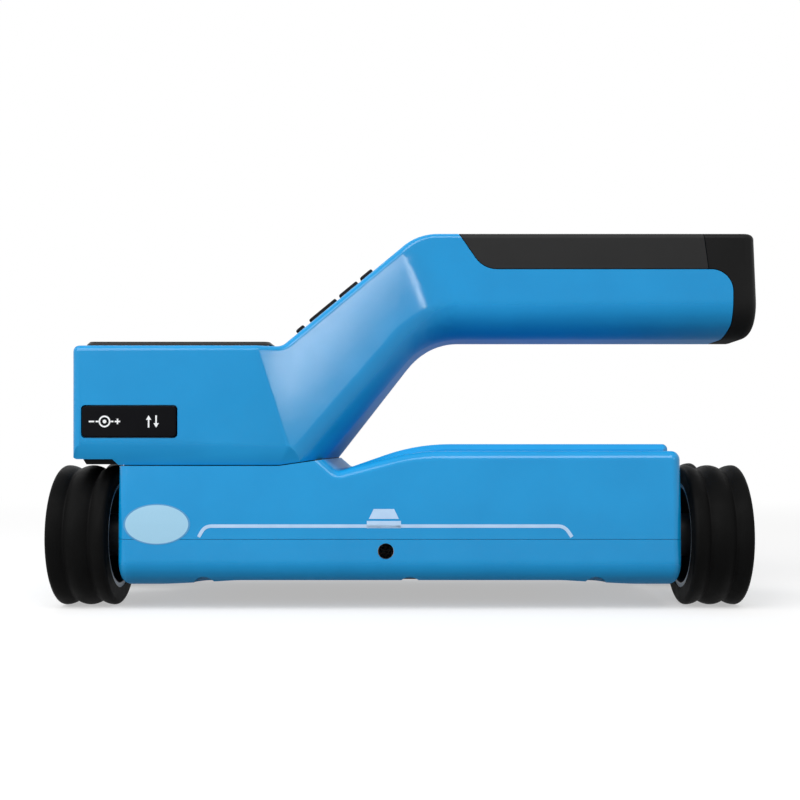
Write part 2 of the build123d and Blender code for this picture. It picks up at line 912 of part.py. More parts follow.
# Key board, tapering with the slope, on the panel's bosses
key_board_low = key_boss_low - board_boss_radius
key_board_high = key_boss_high + board_boss_radius
key_board_foot = slope_half_width(key_board_low, -key_board_under) - housing_wall - key_board_margin
key_board_head = slope_half_width(key_board_high, -key_board_under) - housing_wall - key_board_margin
with BuildPart() as key_board:
    with BuildSketch(slope.offset(-key_board_under)):
        with BuildLine():
            FilletPolyline(
                (key_board_low, -key_board_foot),
                (key_board_high, -key_board_head),
                (key_board_high, key_board_head),
                (key_board_low, key_board_foot),
                radius=board_boss_radius,
                close=True,
            )
        make_face()
        with Locations(*key_boss_places):
            Circle(board_screw_radius + screw_fit, mode=Mode.SUBTRACT)
    extrude(amount=board_thickness)
key_board.part.label = "key_board"
export_step(key_board.part, "parts/key_board.step")

# Rubber cover over the ports, turning on its left edge
with BuildPart() as port_cover:
    with BuildSketch(Plane.XZ.offset(-front_y + port_cover_proud)):
        with Locations((port_x, port_cover_z)):
            RectangleRounded(port_cover_length, port_cover_height, port_cover_corner)
    extrude(amount=-port_cover_thickness)
    fillet(port_cover.faces().sort_by(Axis.Y)[0].edges(), port_cover_proud)
port_cover.part.label = "port_cover"
export_step(port_cover.part, "parts/port_cover.step")

# Charging socket: a barrel through the wall, its body and its centre pin
with BuildPart() as charge_socket:
    with BuildSketch(Plane.XZ.offset(-port_floor_y)):
        with Locations((jack_x, port_cover_z)):
            Circle(jack_barrel_radius)
    extrude(amount=-port_wall)
    with BuildSketch(Plane.XZ.offset(-port_back_y)):
        with Locations((jack_x, port_cover_z)):
            Rectangle(jack_body, jack_body)
    extrude(amount=-jack_depth)
    with BuildSketch(Plane.XZ.offset(-port_floor_y)):
        with Locations((jack_x, port_cover_z)):
            Circle(jack_bore_radius)
            Circle(jack_pin_radius, mode=Mode.SUBTRACT)
    extrude(amount=-jack_bore_depth, mode=Mode.SUBTRACT)
charge_socket.part.label = "charge_socket"
export_step(charge_socket.part, "parts/charge_socket.step")

# Data socket: a thin shell with a tongue in its mouth
with BuildPart() as data_socket:
    with BuildSketch(Plane.XZ.offset(-port_floor_y)):
        with Locations((usb_x, port_cover_z)):
            Rectangle(usb_width, usb_height)
    extrude(amount=-port_wall - jack_depth)
    with BuildSketch(Plane.XZ.offset(-port_floor_y)):
        with Locations((usb_x, port_cover_z)):
            Rectangle(usb_width - 2 * usb_shell, usb_height - 2 * usb_shell)
            Rectangle(usb_width - usb_height, usb_tongue, mode=Mode.SUBTRACT)
    extrude(amount=-usb_depth, mode=Mode.SUBTRACT)
data_socket.part.label = "data_socket"
export_step(data_socket.part, "parts/data_socket.step")

with BuildPart() as port_board:
    with BuildSketch(Plane.XZ.offset(-port_back_y - jack_depth)):
        with Locations((port_x, port_cover_z)):
            Rectangle(port_cover_length - 2 * port_board_margin, port_board_height)
    extrude(amount=-board_thickness)
port_board.part.label = "port_board"
export_step(port_board.part, "parts/port_board.step")

# Guard between the display box and the left wheels
guard_left = box_left + box_foot_round + guard_inset
guard_right = base_left - (box_floor_z - seam_z - seam_gap) - guard_step_gap
with BuildPart() as wheel_guard:
    with BuildSketch(Plane.XZ):
        with BuildLine():
            Polyline(
                (guard_left, box_floor_z),
                (guard_left + guard_bevel, box_floor_z - guard_thickness),
                (guard_right + guard_thickness, box_floor_z - guard_thickness),
                (guard_right, box_floor_z),
                close=True,
            )
        make_face()
    extrude(amount=guard_width / 2, both=True)
wheel_guard.part.label = "wheel_guard"
export_step(wheel_guard.part, "parts/wheel_guard.step")

# Seal in the joint between the housing and the base
seal_end_x = neck_foot_x - seal_inset
seal_end_z = seam_z + seam_rise * (seal_end_x - rise_x) / seam_rise_run
with BuildPart() as neck_seal:
    with BuildSketch(Plane.XZ):
        with BuildLine():
            Polyline(
                (base_left + seal_inset, seam_z),
                (rise_x, seam_z),
                (seal_end_x, seal_end_z),
                (seal_end_x, seal_end_z + seam_gap),
                (rise_x, seam_z + seam_gap),
                (base_left + seal_inset, seam_z + seam_gap),
                close=True,
            )
        make_face()
    extrude(amount=base_width / 2 - waist_depth - seal_side_inset, both=True)
    with BuildSketch(Plane.XY.offset(seam_z)):
        with Locations(*neck_screw_places):
            Circle(neck_screw_radius + screw_fit)
        with Locations((cable_port_x, 0)):
            Rectangle(cable_port_length, cable_port_width)
    extrude(amount=seam_gap, mode=Mode.SUBTRACT)
neck_seal.part.label = "neck_seal"
export_step(neck_seal.part, "parts/neck_seal.step")

with BuildPart() as neck_screws:
    with BuildSketch(Plane.XY.offset(base_roof_z)):
        with Locations(*neck_screw_places):
            Circle(neck_screw_head_radius)
    extrude(amount=-neck_screw_head)
    with BuildSketch(Plane.XY.offset(base_roof_z)):
        with Locations(*neck_screw_places):
            Circle(neck_screw_radius)
    extrude(amount=neck_screw_length)
neck_screws.part.label = "neck_screws"
export_step(neck_screws.part, "parts/neck_screws.step")

# Outer form of the base, shared by its shell and its tray
foot_z = belly_z - foot_drop
valley_x = neck_foot_x + valley_run
ramp_x = valley_x + ramp_run
with BuildSketch(Plane.XZ) as base_side:
    with BuildLine():
        FilletPolyline(
            (base_left, foot_z),
            (base_left, seam_z),
            (rise_x, seam_z),
            (neck_foot_x, seam_z + seam_rise),
            (valley_x, valley_z),
            (ramp_x, shoulder_z),
            (base_right, shoulder_z),
            (base_right, foot_z),
            (base_right - foot_length, foot_z),
            (base_right - foot_length - foot_ramp, belly_z),
            (base_left + foot_length + foot_ramp, belly_z),
            (base_left + foot_length, foot_z),
            radius=[
                0,
                0,
                0,
                0,
                valley_round,
                ramp_round,
                base_shoulder_round,
                0,
                foot_round,
                foot_round,
                foot_round,
                foot_round,
            ],
            close=True,
        )
    make_face()


def base_section(inset):
    """Section across the base: rounded lower edges and sides that lean in towards the top."""
    half = base_width / 2 - inset
    low = foot_z + inset
    high = shoulder_z + crown_height
    lean_half = half - (high - lean_z) * tan(radians(base_lean))
    low_round = base_low_round - inset
    side_round = base_side_round - inset
    with BuildSketch(Plane.YZ) as section:
        with BuildLine():
            FilletPolyline(
                (-half, low),
                (-half, lean_z),
                (-lean_half, high),
                (lean_half, high),
                (half, lean_z),
                (half, low),
                radius=[low_round, side_round, 0, 0, side_round, low_round],
                close=True,
            )
        make_face()
    return section.sketch


base_outside = base_section(0)
base_inside = base_section(base_side_wall)

with BuildPart() as base_form:
    extrude(base_side.sketch, amount=base_width, both=True)
    extrude(base_outside, amount=through, both=True, mode=Mode.INTERSECT)
    shoulder_edges = base_form.edges().filter_by(Axis.X)
    fillet(shoulder_edges.filter_by_position(Axis.Z, shoulder_z - margin / 4, shoulder_z), base_end_round)
    fillet(base_form.edges().group_by(Axis.X)[0].sort_by(Axis.Z)[:-1], base_end_round)

# Places inside the base
floor_z = belly_z + base_wall
bearing_places = [
    (end, side * wheel_track / 2)
    for end in (base_left + bush_length / 2, base_right - bush_length / 2)
    for side in (-1, 1)
]
block_top_z = axle_z + bush_radius + block_cover
tray_screw_places = [
    (base_mid + run, side * (base_width / 2 - tray_screw_inset))
    for run in (-tray_screw_pitch, tray_screw_shift, tray_screw_pitch)
    for side in (-1, 1)
]
tray_head_z = belly_z + tray_pocket_depth
tray_boss_top_z = tray_head_z + tray_screw_length + tray_screw_radius
laser_window_y = base_width / 2 - laser_window_set
laser_seat_y = laser_window_y - laser_window_thickness
laser_block_y = base_width / 2 - base_side_wall - laser_block_depth / 2
sensor_post_places = [(sensor_x - sensor_post_spread / 2, 0), (sensor_x + sensor_post_spread / 2, 0)]
coil_top_z = floor_z + coil_height

# Hollow of the base, round its bearing blocks, screw columns, laser blocks and detector posts
with BuildPart() as base_hollow:
    with BuildSketch(Plane.XZ):
        with BuildLine():
            Polyline(
                (base_left + base_wall, floor_z),
                (base_left + base_wall, base_roof_z),
                (rise_x, base_roof_z),
                (valley_x, valley_z - base_wall),
                (ramp_x, shoulder_z - base_wall),
                (base_right - base_wall, shoulder_z - base_wall),
                (base_right - base_wall, floor_z),
                close=True,
            )
        make_face()
    extrude(amount=base_width, both=True)
    extrude(base_inside, amount=through, both=True, mode=Mode.INTERSECT)
    with BuildSketch(Plane.XY.offset(floor_z)):
        with Locations(*bearing_places):
            Rectangle(bush_length, block_width)
    extrude(amount=block_top_z - floor_z, mode=Mode.SUBTRACT)
    with BuildSketch(Plane.XY.offset(floor_z)):
        with Locations(*tray_screw_places):
            Circle(tray_boss_radius)
    extrude(amount=tray_boss_top_z - floor_z, mode=Mode.SUBTRACT)
    with BuildSketch(Plane.XY.offset(floor_z)):
        with Locations((sensor_x, -laser_block_y), (sensor_x, laser_block_y)):
            Rectangle(laser_block, laser_block_depth)
    extrude(amount=axle_z - floor_z, mode=Mode.SUBTRACT)
    with BuildSketch(Plane.XY.offset(floor_z)):
        with Locations(*sensor_post_places):
            Circle(sensor_post_radius)
    extrude(amount=coil_height, mode=Mode.SUBTRACT)

# Bores for the bushes, halved by the parting of the base
with BuildPart() as bearing_bores:
    with BuildSketch(Plane.YZ.offset(base_left)):
        with Locations((-wheel_track / 2, axle_z), (wheel_track / 2, axle_z)):
            Circle(bush_radius + press_fit_gap)
    extrude(amount=bush_length)
    with BuildSketch(Plane.YZ.offset(base_right)):
        with Locations((-wheel_track / 2, axle_z), (wheel_track / 2, axle_z)):
            Circle(bush_radius + press_fit_gap)
    extrude(amount=-bush_length)

# Screw holes that run through the parting
with BuildPart() as tray_holes:
    with BuildSketch(Plane.XY.offset(tray_head_z)):
        with Locations(*tray_screw_places):
            Circle(tray_screw_radius + screw_fit)
    extrude(amount=tray_screw_length + screw_fit)

# Raised crown on the deck of the base
crown_right = base_right - crown_end_inset
with BuildPart() as crown:
    with BuildSketch(Plane.XZ):
        with BuildLine():
            FilletPolyline(
                (valley_x, base_roof_z),
                (valley_x, valley_z),
                (ramp_x, shoulder_z + crown_height),
                (crown_right, shoulder_z + crown_height),
                (crown_right, base_roof_z),
                radius=[0, 0, ramp_round, crown_bevel, 0],
                close=True,
            )
        make_face()
    extrude(amount=crown_width / 2, both=True)
    chamfer(crown.edges().filter_by(Axis.X).group_by(Axis.Z)[-1], crown_bevel)

# Upper shell of the base
with BuildPart() as base_shell:
    add(base_form.part)
    add(crown.part)
    add(base_hollow.part, mode=Mode.SUBTRACT)
    add(bearing_bores.part, mode=Mode.SUBTRACT)
    add(tray_holes.part, mode=Mode.SUBTRACT)
    split(bisect_by=Plane.XY.offset(axle_z + parting_gap / 2), keep=Keep.TOP)
    with BuildSketch(Plane.XY.offset(base_roof_z)):
        with Locations(*neck_screw_places):
            Circle(neck_screw_radius + screw_fit)
        with Locations((cable_port_x, 0)):
            Rectangle(cable_port_length, cable_port_width)
    extrude(amount=base_wall, mode=Mode.SUBTRACT)
base_shell.part.label = "base_shell"
export_step(base_shell.part, "parts/base_shell.step")

# Lower tray of the base, with screw pockets that break its rounded lower edges
with BuildPart() as base_tray:
    add(base_form.part)
    add(base_hollow.part, mode=Mode.SUBTRACT)
    add(bearing_bores.part, mode=Mode.SUBTRACT)
    add(tray_holes.part, mode=Mode.SUBTRACT)
    split(bisect_by=Plane.XY.offset(axle_z - parting_gap / 2), keep=Keep.BOTTOM)
    with BuildSketch(Plane.XY.offset(tray_head_z)):
        with Locations(*tray_screw_places):
            Circle(tray_pocket_radius)
    extrude(amount=-margin, mode=Mode.SUBTRACT)
    with BuildSketch(Plane.XY.offset(belly_z + sensor_plate_recess)):
        with Locations((sensor_x, 0)):
            RectangleRounded(
                sensor_plate_length + 2 * panel_seam,
                sensor_plate_width + 2 * panel_seam,
                sensor_plate_corner + panel_seam,
            )
    extrude(amount=-margin, mode=Mode.SUBTRACT)
    with BuildSketch(Plane.XZ):
        with Locations((sensor_x, laser_z)):
            Circle(laser_window_radius + laser_fit)
    extrude(amount=base_width, both=True, mode=Mode.SUBTRACT)
    with BuildSketch(Plane.XZ):
        with Locations((sensor_x, laser_z)):
            Circle(laser_radius + laser_fit)
    extrude(amount=laser_seat_y, both=True, mode=Mode.SUBTRACT)
    with BuildSketch(Plane.XY.offset(coil_top_z)):
        with Locations(*sensor_post_places):
            Circle(board_screw_radius + screw_fit)
    extrude(amount=-board_screw_bite - screw_fit, mode=Mode.SUBTRACT)
base_tray.part.label = "base_tray"
export_step(base_tray.part, "parts/base_tray.step")

with BuildPart() as tray_screws:
    with BuildSketch(Plane.XY.offset(tray_head_z)):
        with Locations(*tray_screw_places):
            Circle(tray_screw_head_radius)
    extrude(amount=-tray_screw_head)
    with BuildSketch(Plane.XY.offset(tray_head_z)):
        with Locations(*tray_screw_places):
            Circle(tray_screw_radius)
    extrude(amount=tray_screw_length)
tray_screws.part.label = "tray_screws"
export_step(tray_screws.part, "parts/tray_screws.step")

# Sliding plate under the detector
with BuildPart() as sensor_plate:
    with BuildSketch(Plane.XY.offset(belly_z + sensor_plate_recess)):
        with Locations((sensor_x, 0)):
            RectangleRounded(sensor_plate_length, sensor_plate_width, sensor_plate_corner)
    extrude(amount=-sensor_plate_recess - sensor_plate_proud)
    chamfer(sensor_plate.faces().sort_by(Axis.Z)[0].edges(), sensor_plate_bevel)
sensor_plate.part.label = "sensor_plate"
export_step(sensor_plate.part, "parts/sensor_plate.step")

# Detector coil: a ring former with a groove, and the winding in it
with BuildPart() as coil_former:
    with BuildSketch(Plane.XY.offset(floor_z)):
        with Locations((sensor_x, 0)):
            RectangleRounded(coil_length, coil_width, coil_round)
            Rectangle(coil_length - 2 * coil_band, coil_width - 2 * coil_band, mode=Mode.SUBTRACT)
    extrude(amount=coil_height)
    with BuildSketch(Plane.XY.offset(floor_z + coil_flange)):
        with Locations((sensor_x, 0)):
            Rectangle(coil_length, coil_width)
            RectangleRounded(
                coil_length - 2 * coil_groove,
                coil_width - 2 * coil_groove,
                coil_round - coil_groove,
                mode=Mode.SUBTRACT,
            )
    extrude(amount=coil_height - 2 * coil_flange, mode=Mode.SUBTRACT)
coil_former.part.label = "coil_former"
export_step(coil_former.part, "parts/coil_former.step")

with BuildPart() as coil_winding:
    with BuildSketch(Plane.XY.offset(floor_z + coil_flange + winding_gap)):
        with Locations((sensor_x, 0)):
            RectangleRounded(
                coil_length - 2 * winding_inset,
                coil_width - 2 * winding_inset,
                coil_round - winding_inset,
            )
            RectangleRounded(
                coil_length - 2 * coil_groove + 2 * winding_gap,
                coil_width - 2 * coil_groove + 2 * winding_gap,
                coil_round - coil_groove + winding_gap,
                mode=Mode.SUBTRACT,
            )
    extrude(amount=coil_height - 2 * coil_flange - 2 * winding_gap)
coil_winding.part.label = "coil_winding"
export_step(coil_winding.part, "parts/coil_winding.step")

with BuildPart() as sensor_board:
    with BuildSketch(Plane.XY.offset(coil_top_z)):
        with Locations((sensor_x, 0)):
            Rectangle(sensor_board_length, sensor_board_width)
        with Locations(*sensor_post_places):
            Circle(board_screw_radius + screw_fit, mode=Mode.SUBTRACT)
    extrude(amount=board_thickness)
sensor_board.part.label = "sensor_board"
export_step(sensor_board.part, "parts/sensor_board.step")

# Screws of the main board, the key board and the detector board
screw_grip = board_thickness + board_screw_bite
with BuildPart() as board_screws:
    with BuildSketch(Plane.XY.offset(main_board_under_z)):
        with Locations((screen_x, 0)):
            with GridLocations(main_boss_x, main_boss_y, 2, 2):
                Circle(board_screw_head_radius)
    extrude(amount=-board_screw_head)
    with BuildSketch(Plane.XY.offset(main_board_under_z)):
        with Locations((screen_x, 0)):
            with GridLocations(main_boss_x, main_boss_y, 2, 2):
                Circle(board_screw_radius)
    extrude(amount=screw_grip)
    with BuildSketch(slope.offset(-key_board_under)):
        with Locations(*key_boss_places):
            Circle(board_screw_head_radius)
    extrude(amount=-board_screw_head)
    with BuildSketch(slope.offset(-key_board_under)):
        with Locations(*key_boss_places):
            Circle(board_screw_radius)
    extrude(amount=screw_grip)
    with BuildSketch(Plane.XY.offset(coil_top_z + board_thickness)):
        with Locations(*sensor_post_places):
            Circle(board_screw_head_radius)
    extrude(amount=board_screw_head)
    with BuildSketch(Plane.XY.offset(coil_top_z + board_thickness)):
        with Locations(*sensor_post_places):
            Circle(board_screw_radius)
    extrude(amount=-screw_grip)
board_screws.part.label = "board_screws"
export_step(board_screws.part, "parts/board_screws.step")

# Marking lasers, one in each side of the tray, behind round windows
with BuildPart() as laser_modules:
    with BuildSketch(Plane.XZ.offset(laser_seat_y)):
        with Locations((sensor_x, laser_z)):
            Circle(laser_radius)
    extrude(amount=-laser_length)
    with BuildSketch(Plane.XZ.offset(-laser_seat_y)):
        with Locations((sensor_x, laser_z)):
            Circle(laser_radius)
    extrude(amount=laser_length)
laser_modules.part.label = "laser_modules"
export_step(laser_modules.part, "parts/laser_modules.step")

with BuildPart() as laser_windows:
    with BuildSketch(Plane.XZ.offset(laser_window_y)):
        with Locations((sensor_x, laser_z)):
            Circle(laser_window_radius)
    extrude(amount=-laser_window_thickness)
    with BuildSketch(Plane.XZ.offset(-laser_window_y)):
        with Locations((sensor_x, laser_z)):
            Circle(laser_window_radius)
    extrude(amount=laser_window_thickness)
laser_windows.part.label = "laser_windows"
export_step(laser_windows.part, "parts/laser_windows.step")

# Flanged bushes, clamped between the shell and the tray
with BuildPart() as axle_bushes:
    for end, inwards in ((base_left, 1), (base_right, -1)):
        with BuildSketch(Plane.YZ.offset(end)):
            with Locations((-wheel_track / 2, axle_z), (wheel_track / 2, axle_z)):
                Circle(bush_radius)
                Circle(shaft_radius + running_fit, mode=Mode.SUBTRACT)
        extrude(amount=inwards * bush_length)
        with BuildSketch(Plane.YZ.offset(end)):
            with Locations((-wheel_track / 2, axle_z), (wheel_track / 2, axle_z)):
                Circle(bush_flange_radius)
                Circle(shaft_radius + running_fit, mode=Mode.SUBTRACT)
        extrude(amount=-inwards * bush_flange)
axle_bushes.part.label = "axle_bushes"
export_step(axle_bushes.part, "parts/axle_bushes.step")

# Places along a wheel's axis, counted outwards from the middle of the wheel
half_wheel = wheel_width / 2
hub_in = bush_flange + end_play - half_wheel - wheel_gap
hub_out = half_wheel - screw_well
collar_out = -half_wheel - wheel_gap - bush_length - end_play
collar_in = collar_out - shaft_collar_length
rim_in_radius = rim_radius - rim_thickness
lobe_edge = half_wheel - tyre_shoulder
shoulder_radius = wheel_radius - tyre_shoulder
lobe_radius = ((lobe_pitch / 2) ** 2 + lobe_depth**2) / (2 * lobe_depth)
lobe_sweep = degrees(asin(lobe_pitch / 2 / lobe_radius))
groove_radius = wheel_radius - lobe_depth
wheel_places = {
    "front_left": (left_end + half_wheel, -wheel_track / 2, -1),
    "front_right": (base_right + wheel_gap + half_wheel, -wheel_track / 2, 1),
    "rear_left": (left_end + half_wheel, wheel_track / 2, -1),
    "rear_right": (base_right + wheel_gap + half_wheel, wheel_track / 2, 1),
}

for name, (wheel_x, wheel_y, outwards) in wheel_places.items():
    middle = (wheel_x, wheel_y, axle_z)
    profile_plane = Plane(origin=middle, x_dir=(outwards, 0, 0), z_dir=(0, -outwards, 0))
    face_plane = Plane(origin=middle, z_dir=(outwards, 0, 0))
    spin_axis = Axis(middle, (1, 0, 0))

    # Ribbed rubber tyre
    with BuildPart() as tyre:
        with BuildSketch(profile_plane) as tread:
            with BuildLine():
                Polyline(
                    (-half_wheel, shoulder_radius),
                    (-half_wheel, rim_radius),
                    (half_wheel, rim_radius),
                    (half_wheel, shoulder_radius),
                )
                CenterArc((-lobe_edge, shoulder_radius), tyre_shoulder, 90, 90)
                CenterArc((lobe_edge, shoulder_radius), tyre_shoulder, 0, 90)
                for gap in range(lobe_count - 1):
                    lobe = -lobe_edge + gap * lobe_pitch
                    CenterArc((lobe, wheel_radius - lobe_radius), lobe_radius, 90 - lobe_sweep, lobe_sweep)
                    CenterArc((lobe + lobe_pitch, wheel_radius - lobe_radius), lobe_radius, 90, lobe_sweep)
            make_face()
            groove_low = groove_radius - groove_round
            groove_high = groove_radius + groove_round
            fillet(tread.vertices().filter_by_position(Axis.Y, groove_low, groove_high), groove_round)
        revolve(axis=spin_axis)
    tyre.part.label = f"tyre_{name}"
    export_step(tyre.part, f"parts/tyre_{name}.step")

    # Hub: rim, web, boss and ribs on the outer side
    with BuildPart() as hub:
        with BuildSketch(profile_plane):
            with BuildLine():
                Polyline(
                    (hub_in, shaft_radius + press_fit_gap),
                    (hub_in, hub_boss_radius),
                    (-web_thickness / 2, hub_boss_radius),
                    (-web_thickness / 2, rim_in_radius),
                    (rim_inset - half_wheel, rim_in_radius),
                    (rim_inset - half_wheel, rim_radius - press_fit_gap),
                    (half_wheel - rim_inset, rim_radius - press_fit_gap),
                    (half_wheel - rim_inset, rim_in_radius),
                    (web_thickness / 2, rim_in_radius),
                    (web_thickness / 2, hub_boss_radius),
                    (hub_out, hub_boss_radius),
                    (hub_out, shaft_radius + press_fit_gap),
                    close=True,
                )
            make_face()
        revolve(axis=spin_axis)
        with BuildSketch(face_plane):
            with PolarLocations((hub_boss_radius + rim_in_radius) / 2, hub_rib_count):
                Rectangle(rim_in_radius - hub_boss_radius + rim_thickness, hub_rib_thickness)
        extrude(amount=hub_out)
    hub.part.label = f"hub_{name}"
    export_step(hub.part, f"parts/hub_{name}.step")

    # Shaft with a collar behind its bush and a tapped outer end
    with BuildPart() as shaft:
        with BuildSketch(face_plane.offset(collar_in)):
            Circle(shaft_radius)
        extrude(amount=hub_out - shaft_set - collar_in)
        with BuildSketch(face_plane.offset(collar_in)):
            Circle(shaft_collar_radius)
        extrude(amount=shaft_collar_length)
        with BuildSketch(face_plane.offset(hub_out - shaft_set)):
            Circle(hub_screw_radius + screw_fit)
        extrude(amount=-shaft_tap_depth, mode=Mode.SUBTRACT)
    shaft.part.label = f"shaft_{name}"
    export_step(shaft.part, f"parts/shaft_{name}.step")

    with BuildPart() as hub_screw:
        with BuildSketch(face_plane.offset(hub_out)):
            Circle(hub_screw_head_radius)
        extrude(amount=hub_screw_head)
        with BuildSketch(face_plane.offset(hub_out)):
            Circle(hub_screw_radius)
        extrude(amount=-hub_screw_length)
    hub_screw.part.label = f"hub_screw_{name}"
    export_step(hub_screw.part, f"parts/hub_screw_{name}.step")

# Slotted disc on the inner end of the front left shaft
disc_x = left_end + half_wheel - collar_in
with BuildPart() as travel_disc:
    with BuildSketch(Plane.YZ.offset(disc_x)):
        with Locations((-wheel_track / 2, axle_z)):
            Circle(disc_radius)
            with PolarLocations(disc_radius - disc_slot_inset - disc_slot_length / 2, disc_slots):
                Rectangle(disc_slot_length, disc_slot_width, mode=Mode.SUBTRACT)
    extrude(amount=disc_thickness)
travel_disc.part.label = "travel_disc"
export_step(travel_disc.part, "parts/travel_disc.step")

# Light gate on the bearing block, with the disc's rim between its arms
reader_x = base_left + bush_length
reader_low_z = axle_z + disc_radius - reader_reach
reader_slot_z = axle_z + disc_radius + reader_clear
with BuildPart() as travel_reader:
    with BuildSketch(Plane.XZ.offset(wheel_track / 2)):
        with BuildLine():
            Polyline(
                (reader_x, reader_low_z),
                (reader_x, reader_slot_z + reader_back),
                (reader_x + 2 * reader_arm + reader_gap, reader_slot_z + reader_back),
                (reader_x + 2 * reader_arm + reader_gap, reader_low_z),
                (reader_x + reader_arm + reader_gap, reader_low_z),
                (reader_x + reader_arm + reader_gap, reader_slot_z),
                (reader_x + reader_arm, reader_slot_z),
                (reader_x + reader_arm, reader_low_z),
                close=True,
            )
        make_face()
    extrude(amount=reader_width / 2, both=True)
travel_reader.part.label = "travel_reader"
export_step(travel_reader.part, "parts/travel_reader.step")
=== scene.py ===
# %% [markdown]
# # A hand-held wall scanner
# The scanner is a blue moulded tool that rolls over a wall on four ribbed wheels. Its construction is
# already modelled, so this lesson dresses those parts: a camera, a studio, a finish for every surface,
# and the small things that only the looks need, such as printed marks, key signs and screws.
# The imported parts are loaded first, because every later step takes its places from them.

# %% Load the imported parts
import json
import math

import bmesh
import bpy
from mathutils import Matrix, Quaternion, Vector
from mathutils.bvhtree import BVHTree

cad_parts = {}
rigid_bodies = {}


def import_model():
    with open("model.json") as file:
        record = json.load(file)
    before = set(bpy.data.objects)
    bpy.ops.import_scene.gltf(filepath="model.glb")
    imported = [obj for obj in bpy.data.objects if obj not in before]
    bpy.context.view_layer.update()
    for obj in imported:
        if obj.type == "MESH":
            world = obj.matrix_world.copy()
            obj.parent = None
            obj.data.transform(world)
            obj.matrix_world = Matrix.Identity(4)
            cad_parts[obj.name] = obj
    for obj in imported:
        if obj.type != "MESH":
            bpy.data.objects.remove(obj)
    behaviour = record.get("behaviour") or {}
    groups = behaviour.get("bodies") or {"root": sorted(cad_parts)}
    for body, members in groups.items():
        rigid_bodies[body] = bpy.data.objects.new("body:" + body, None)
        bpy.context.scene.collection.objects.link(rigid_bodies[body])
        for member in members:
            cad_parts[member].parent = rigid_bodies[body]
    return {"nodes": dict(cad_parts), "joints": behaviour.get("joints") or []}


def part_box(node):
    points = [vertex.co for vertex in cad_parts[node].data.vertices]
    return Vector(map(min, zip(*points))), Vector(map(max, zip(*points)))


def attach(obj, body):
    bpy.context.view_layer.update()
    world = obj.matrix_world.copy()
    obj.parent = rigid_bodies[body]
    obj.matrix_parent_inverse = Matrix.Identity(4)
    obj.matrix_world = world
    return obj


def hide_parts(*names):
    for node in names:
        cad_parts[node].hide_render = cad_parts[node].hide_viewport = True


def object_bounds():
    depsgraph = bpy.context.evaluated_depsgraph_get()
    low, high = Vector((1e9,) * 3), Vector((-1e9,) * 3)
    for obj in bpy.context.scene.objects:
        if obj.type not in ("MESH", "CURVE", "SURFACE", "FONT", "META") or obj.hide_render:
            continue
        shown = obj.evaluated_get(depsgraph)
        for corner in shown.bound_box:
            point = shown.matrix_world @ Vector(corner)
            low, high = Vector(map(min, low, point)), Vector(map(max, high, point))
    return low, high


for old in list(bpy.data.objects):
    bpy.data.objects.remove(old)
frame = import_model()
nodes = frame["nodes"]
scene = bpy.context.scene
cad_low, cad_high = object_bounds()
mm = 0.001
print(f"{len(nodes)} parts, {(cad_high - cad_low) / mm} mm overall")

# %% [markdown]
# ## Camera
# The photograph is a plain side view from about 40 cm, level with the middle of the object. A level camera
# keeps upright edges upright. Its frame is shifted instead of tilted, which is how a product photographer
# centres an object without bending its sides.

# %% Camera
camera_place = Vector((-1.75, -384.0, 47.7)) * mm
near_limit = 10 * mm
image_size = 800
focal_pixels = 1150
principal_point = (411, 450)

lens = bpy.data.cameras.new("camera")
lens.lens = lens.sensor_width * focal_pixels / image_size
lens.shift_x = 0.5 - principal_point[0] / image_size
lens.shift_y = principal_point[1] / image_size - 0.5
lens.clip_start = near_limit
camera = bpy.data.objects.new("camera", lens)
camera.location = camera_place
camera.rotation_euler = (math.radians(90), 0, 0)
scene.collection.objects.link(camera)
scene.camera = camera
print(f"lens {lens.lens:.1f} mm, shift {lens.shift_x:.4f}, {lens.shift_y:.4f}")

# %% [markdown]
# ## Studio
# The photograph shows soft light from above and in front, and a narrow bright panel to the right that the
# leaning flank of the neck mirrors. Area lamps stand for these panels, because they give both the soft
# shadow and the broad reflection. The narrow panel is turned along the neck, so that its mirror image fades
# across the flank. The pale surroundings are white to the camera and in reflections, while the light that
# they throw on the object stays at a plain level.

# %% Softboxes
target = Vector((0, 0, 60)) * mm
# Each panel has its place and sides in metres, its power in watts and its turn in degrees.
softboxes = {
    "left_front": ((-0.55, -0.62, 0.60), (0.85, 0.85), 7.9, 0),
    "top_front": ((0.20, -0.75, 0.90), (0.60, 0.50), 4.7, 0),
    "right_strip": ((0.833, -0.787, 0.553), (0.32, 0.07), 1.05, 50),
    "behind": ((-0.30, 1.00, 0.80), (0.80, 0.80), 3.0, 0),
}
for name, (place, sides, power, turn) in softboxes.items():
    lamp = bpy.data.lights.new(name, "AREA")
    lamp.shape = "RECTANGLE"
    lamp.size, lamp.size_y = sides
    lamp.energy = power
    box = bpy.data.objects.new(name, lamp)
    box.location = place
    aim = (target - box.location).to_track_quat("-Z", "Y")
    box.rotation_euler = (aim @ Quaternion((0, 0, 1), math.radians(turn))).to_euler()
    scene.collection.objects.link(box)
print(f"{len(softboxes)} softboxes")

# %% Helpers for values
def arithmetic(tree, operation, first, second=0.0):
    """One step of arithmetic on a socket and a socket or a number."""
    step = tree.nodes.new("ShaderNodeMath")
    step.operation = operation
    tree.links.new(first, step.inputs[0])
    if isinstance(second, float):
        step.inputs[1].default_value = second
    else:
        tree.links.new(second, step.inputs[1])
    return step.outputs["Value"]


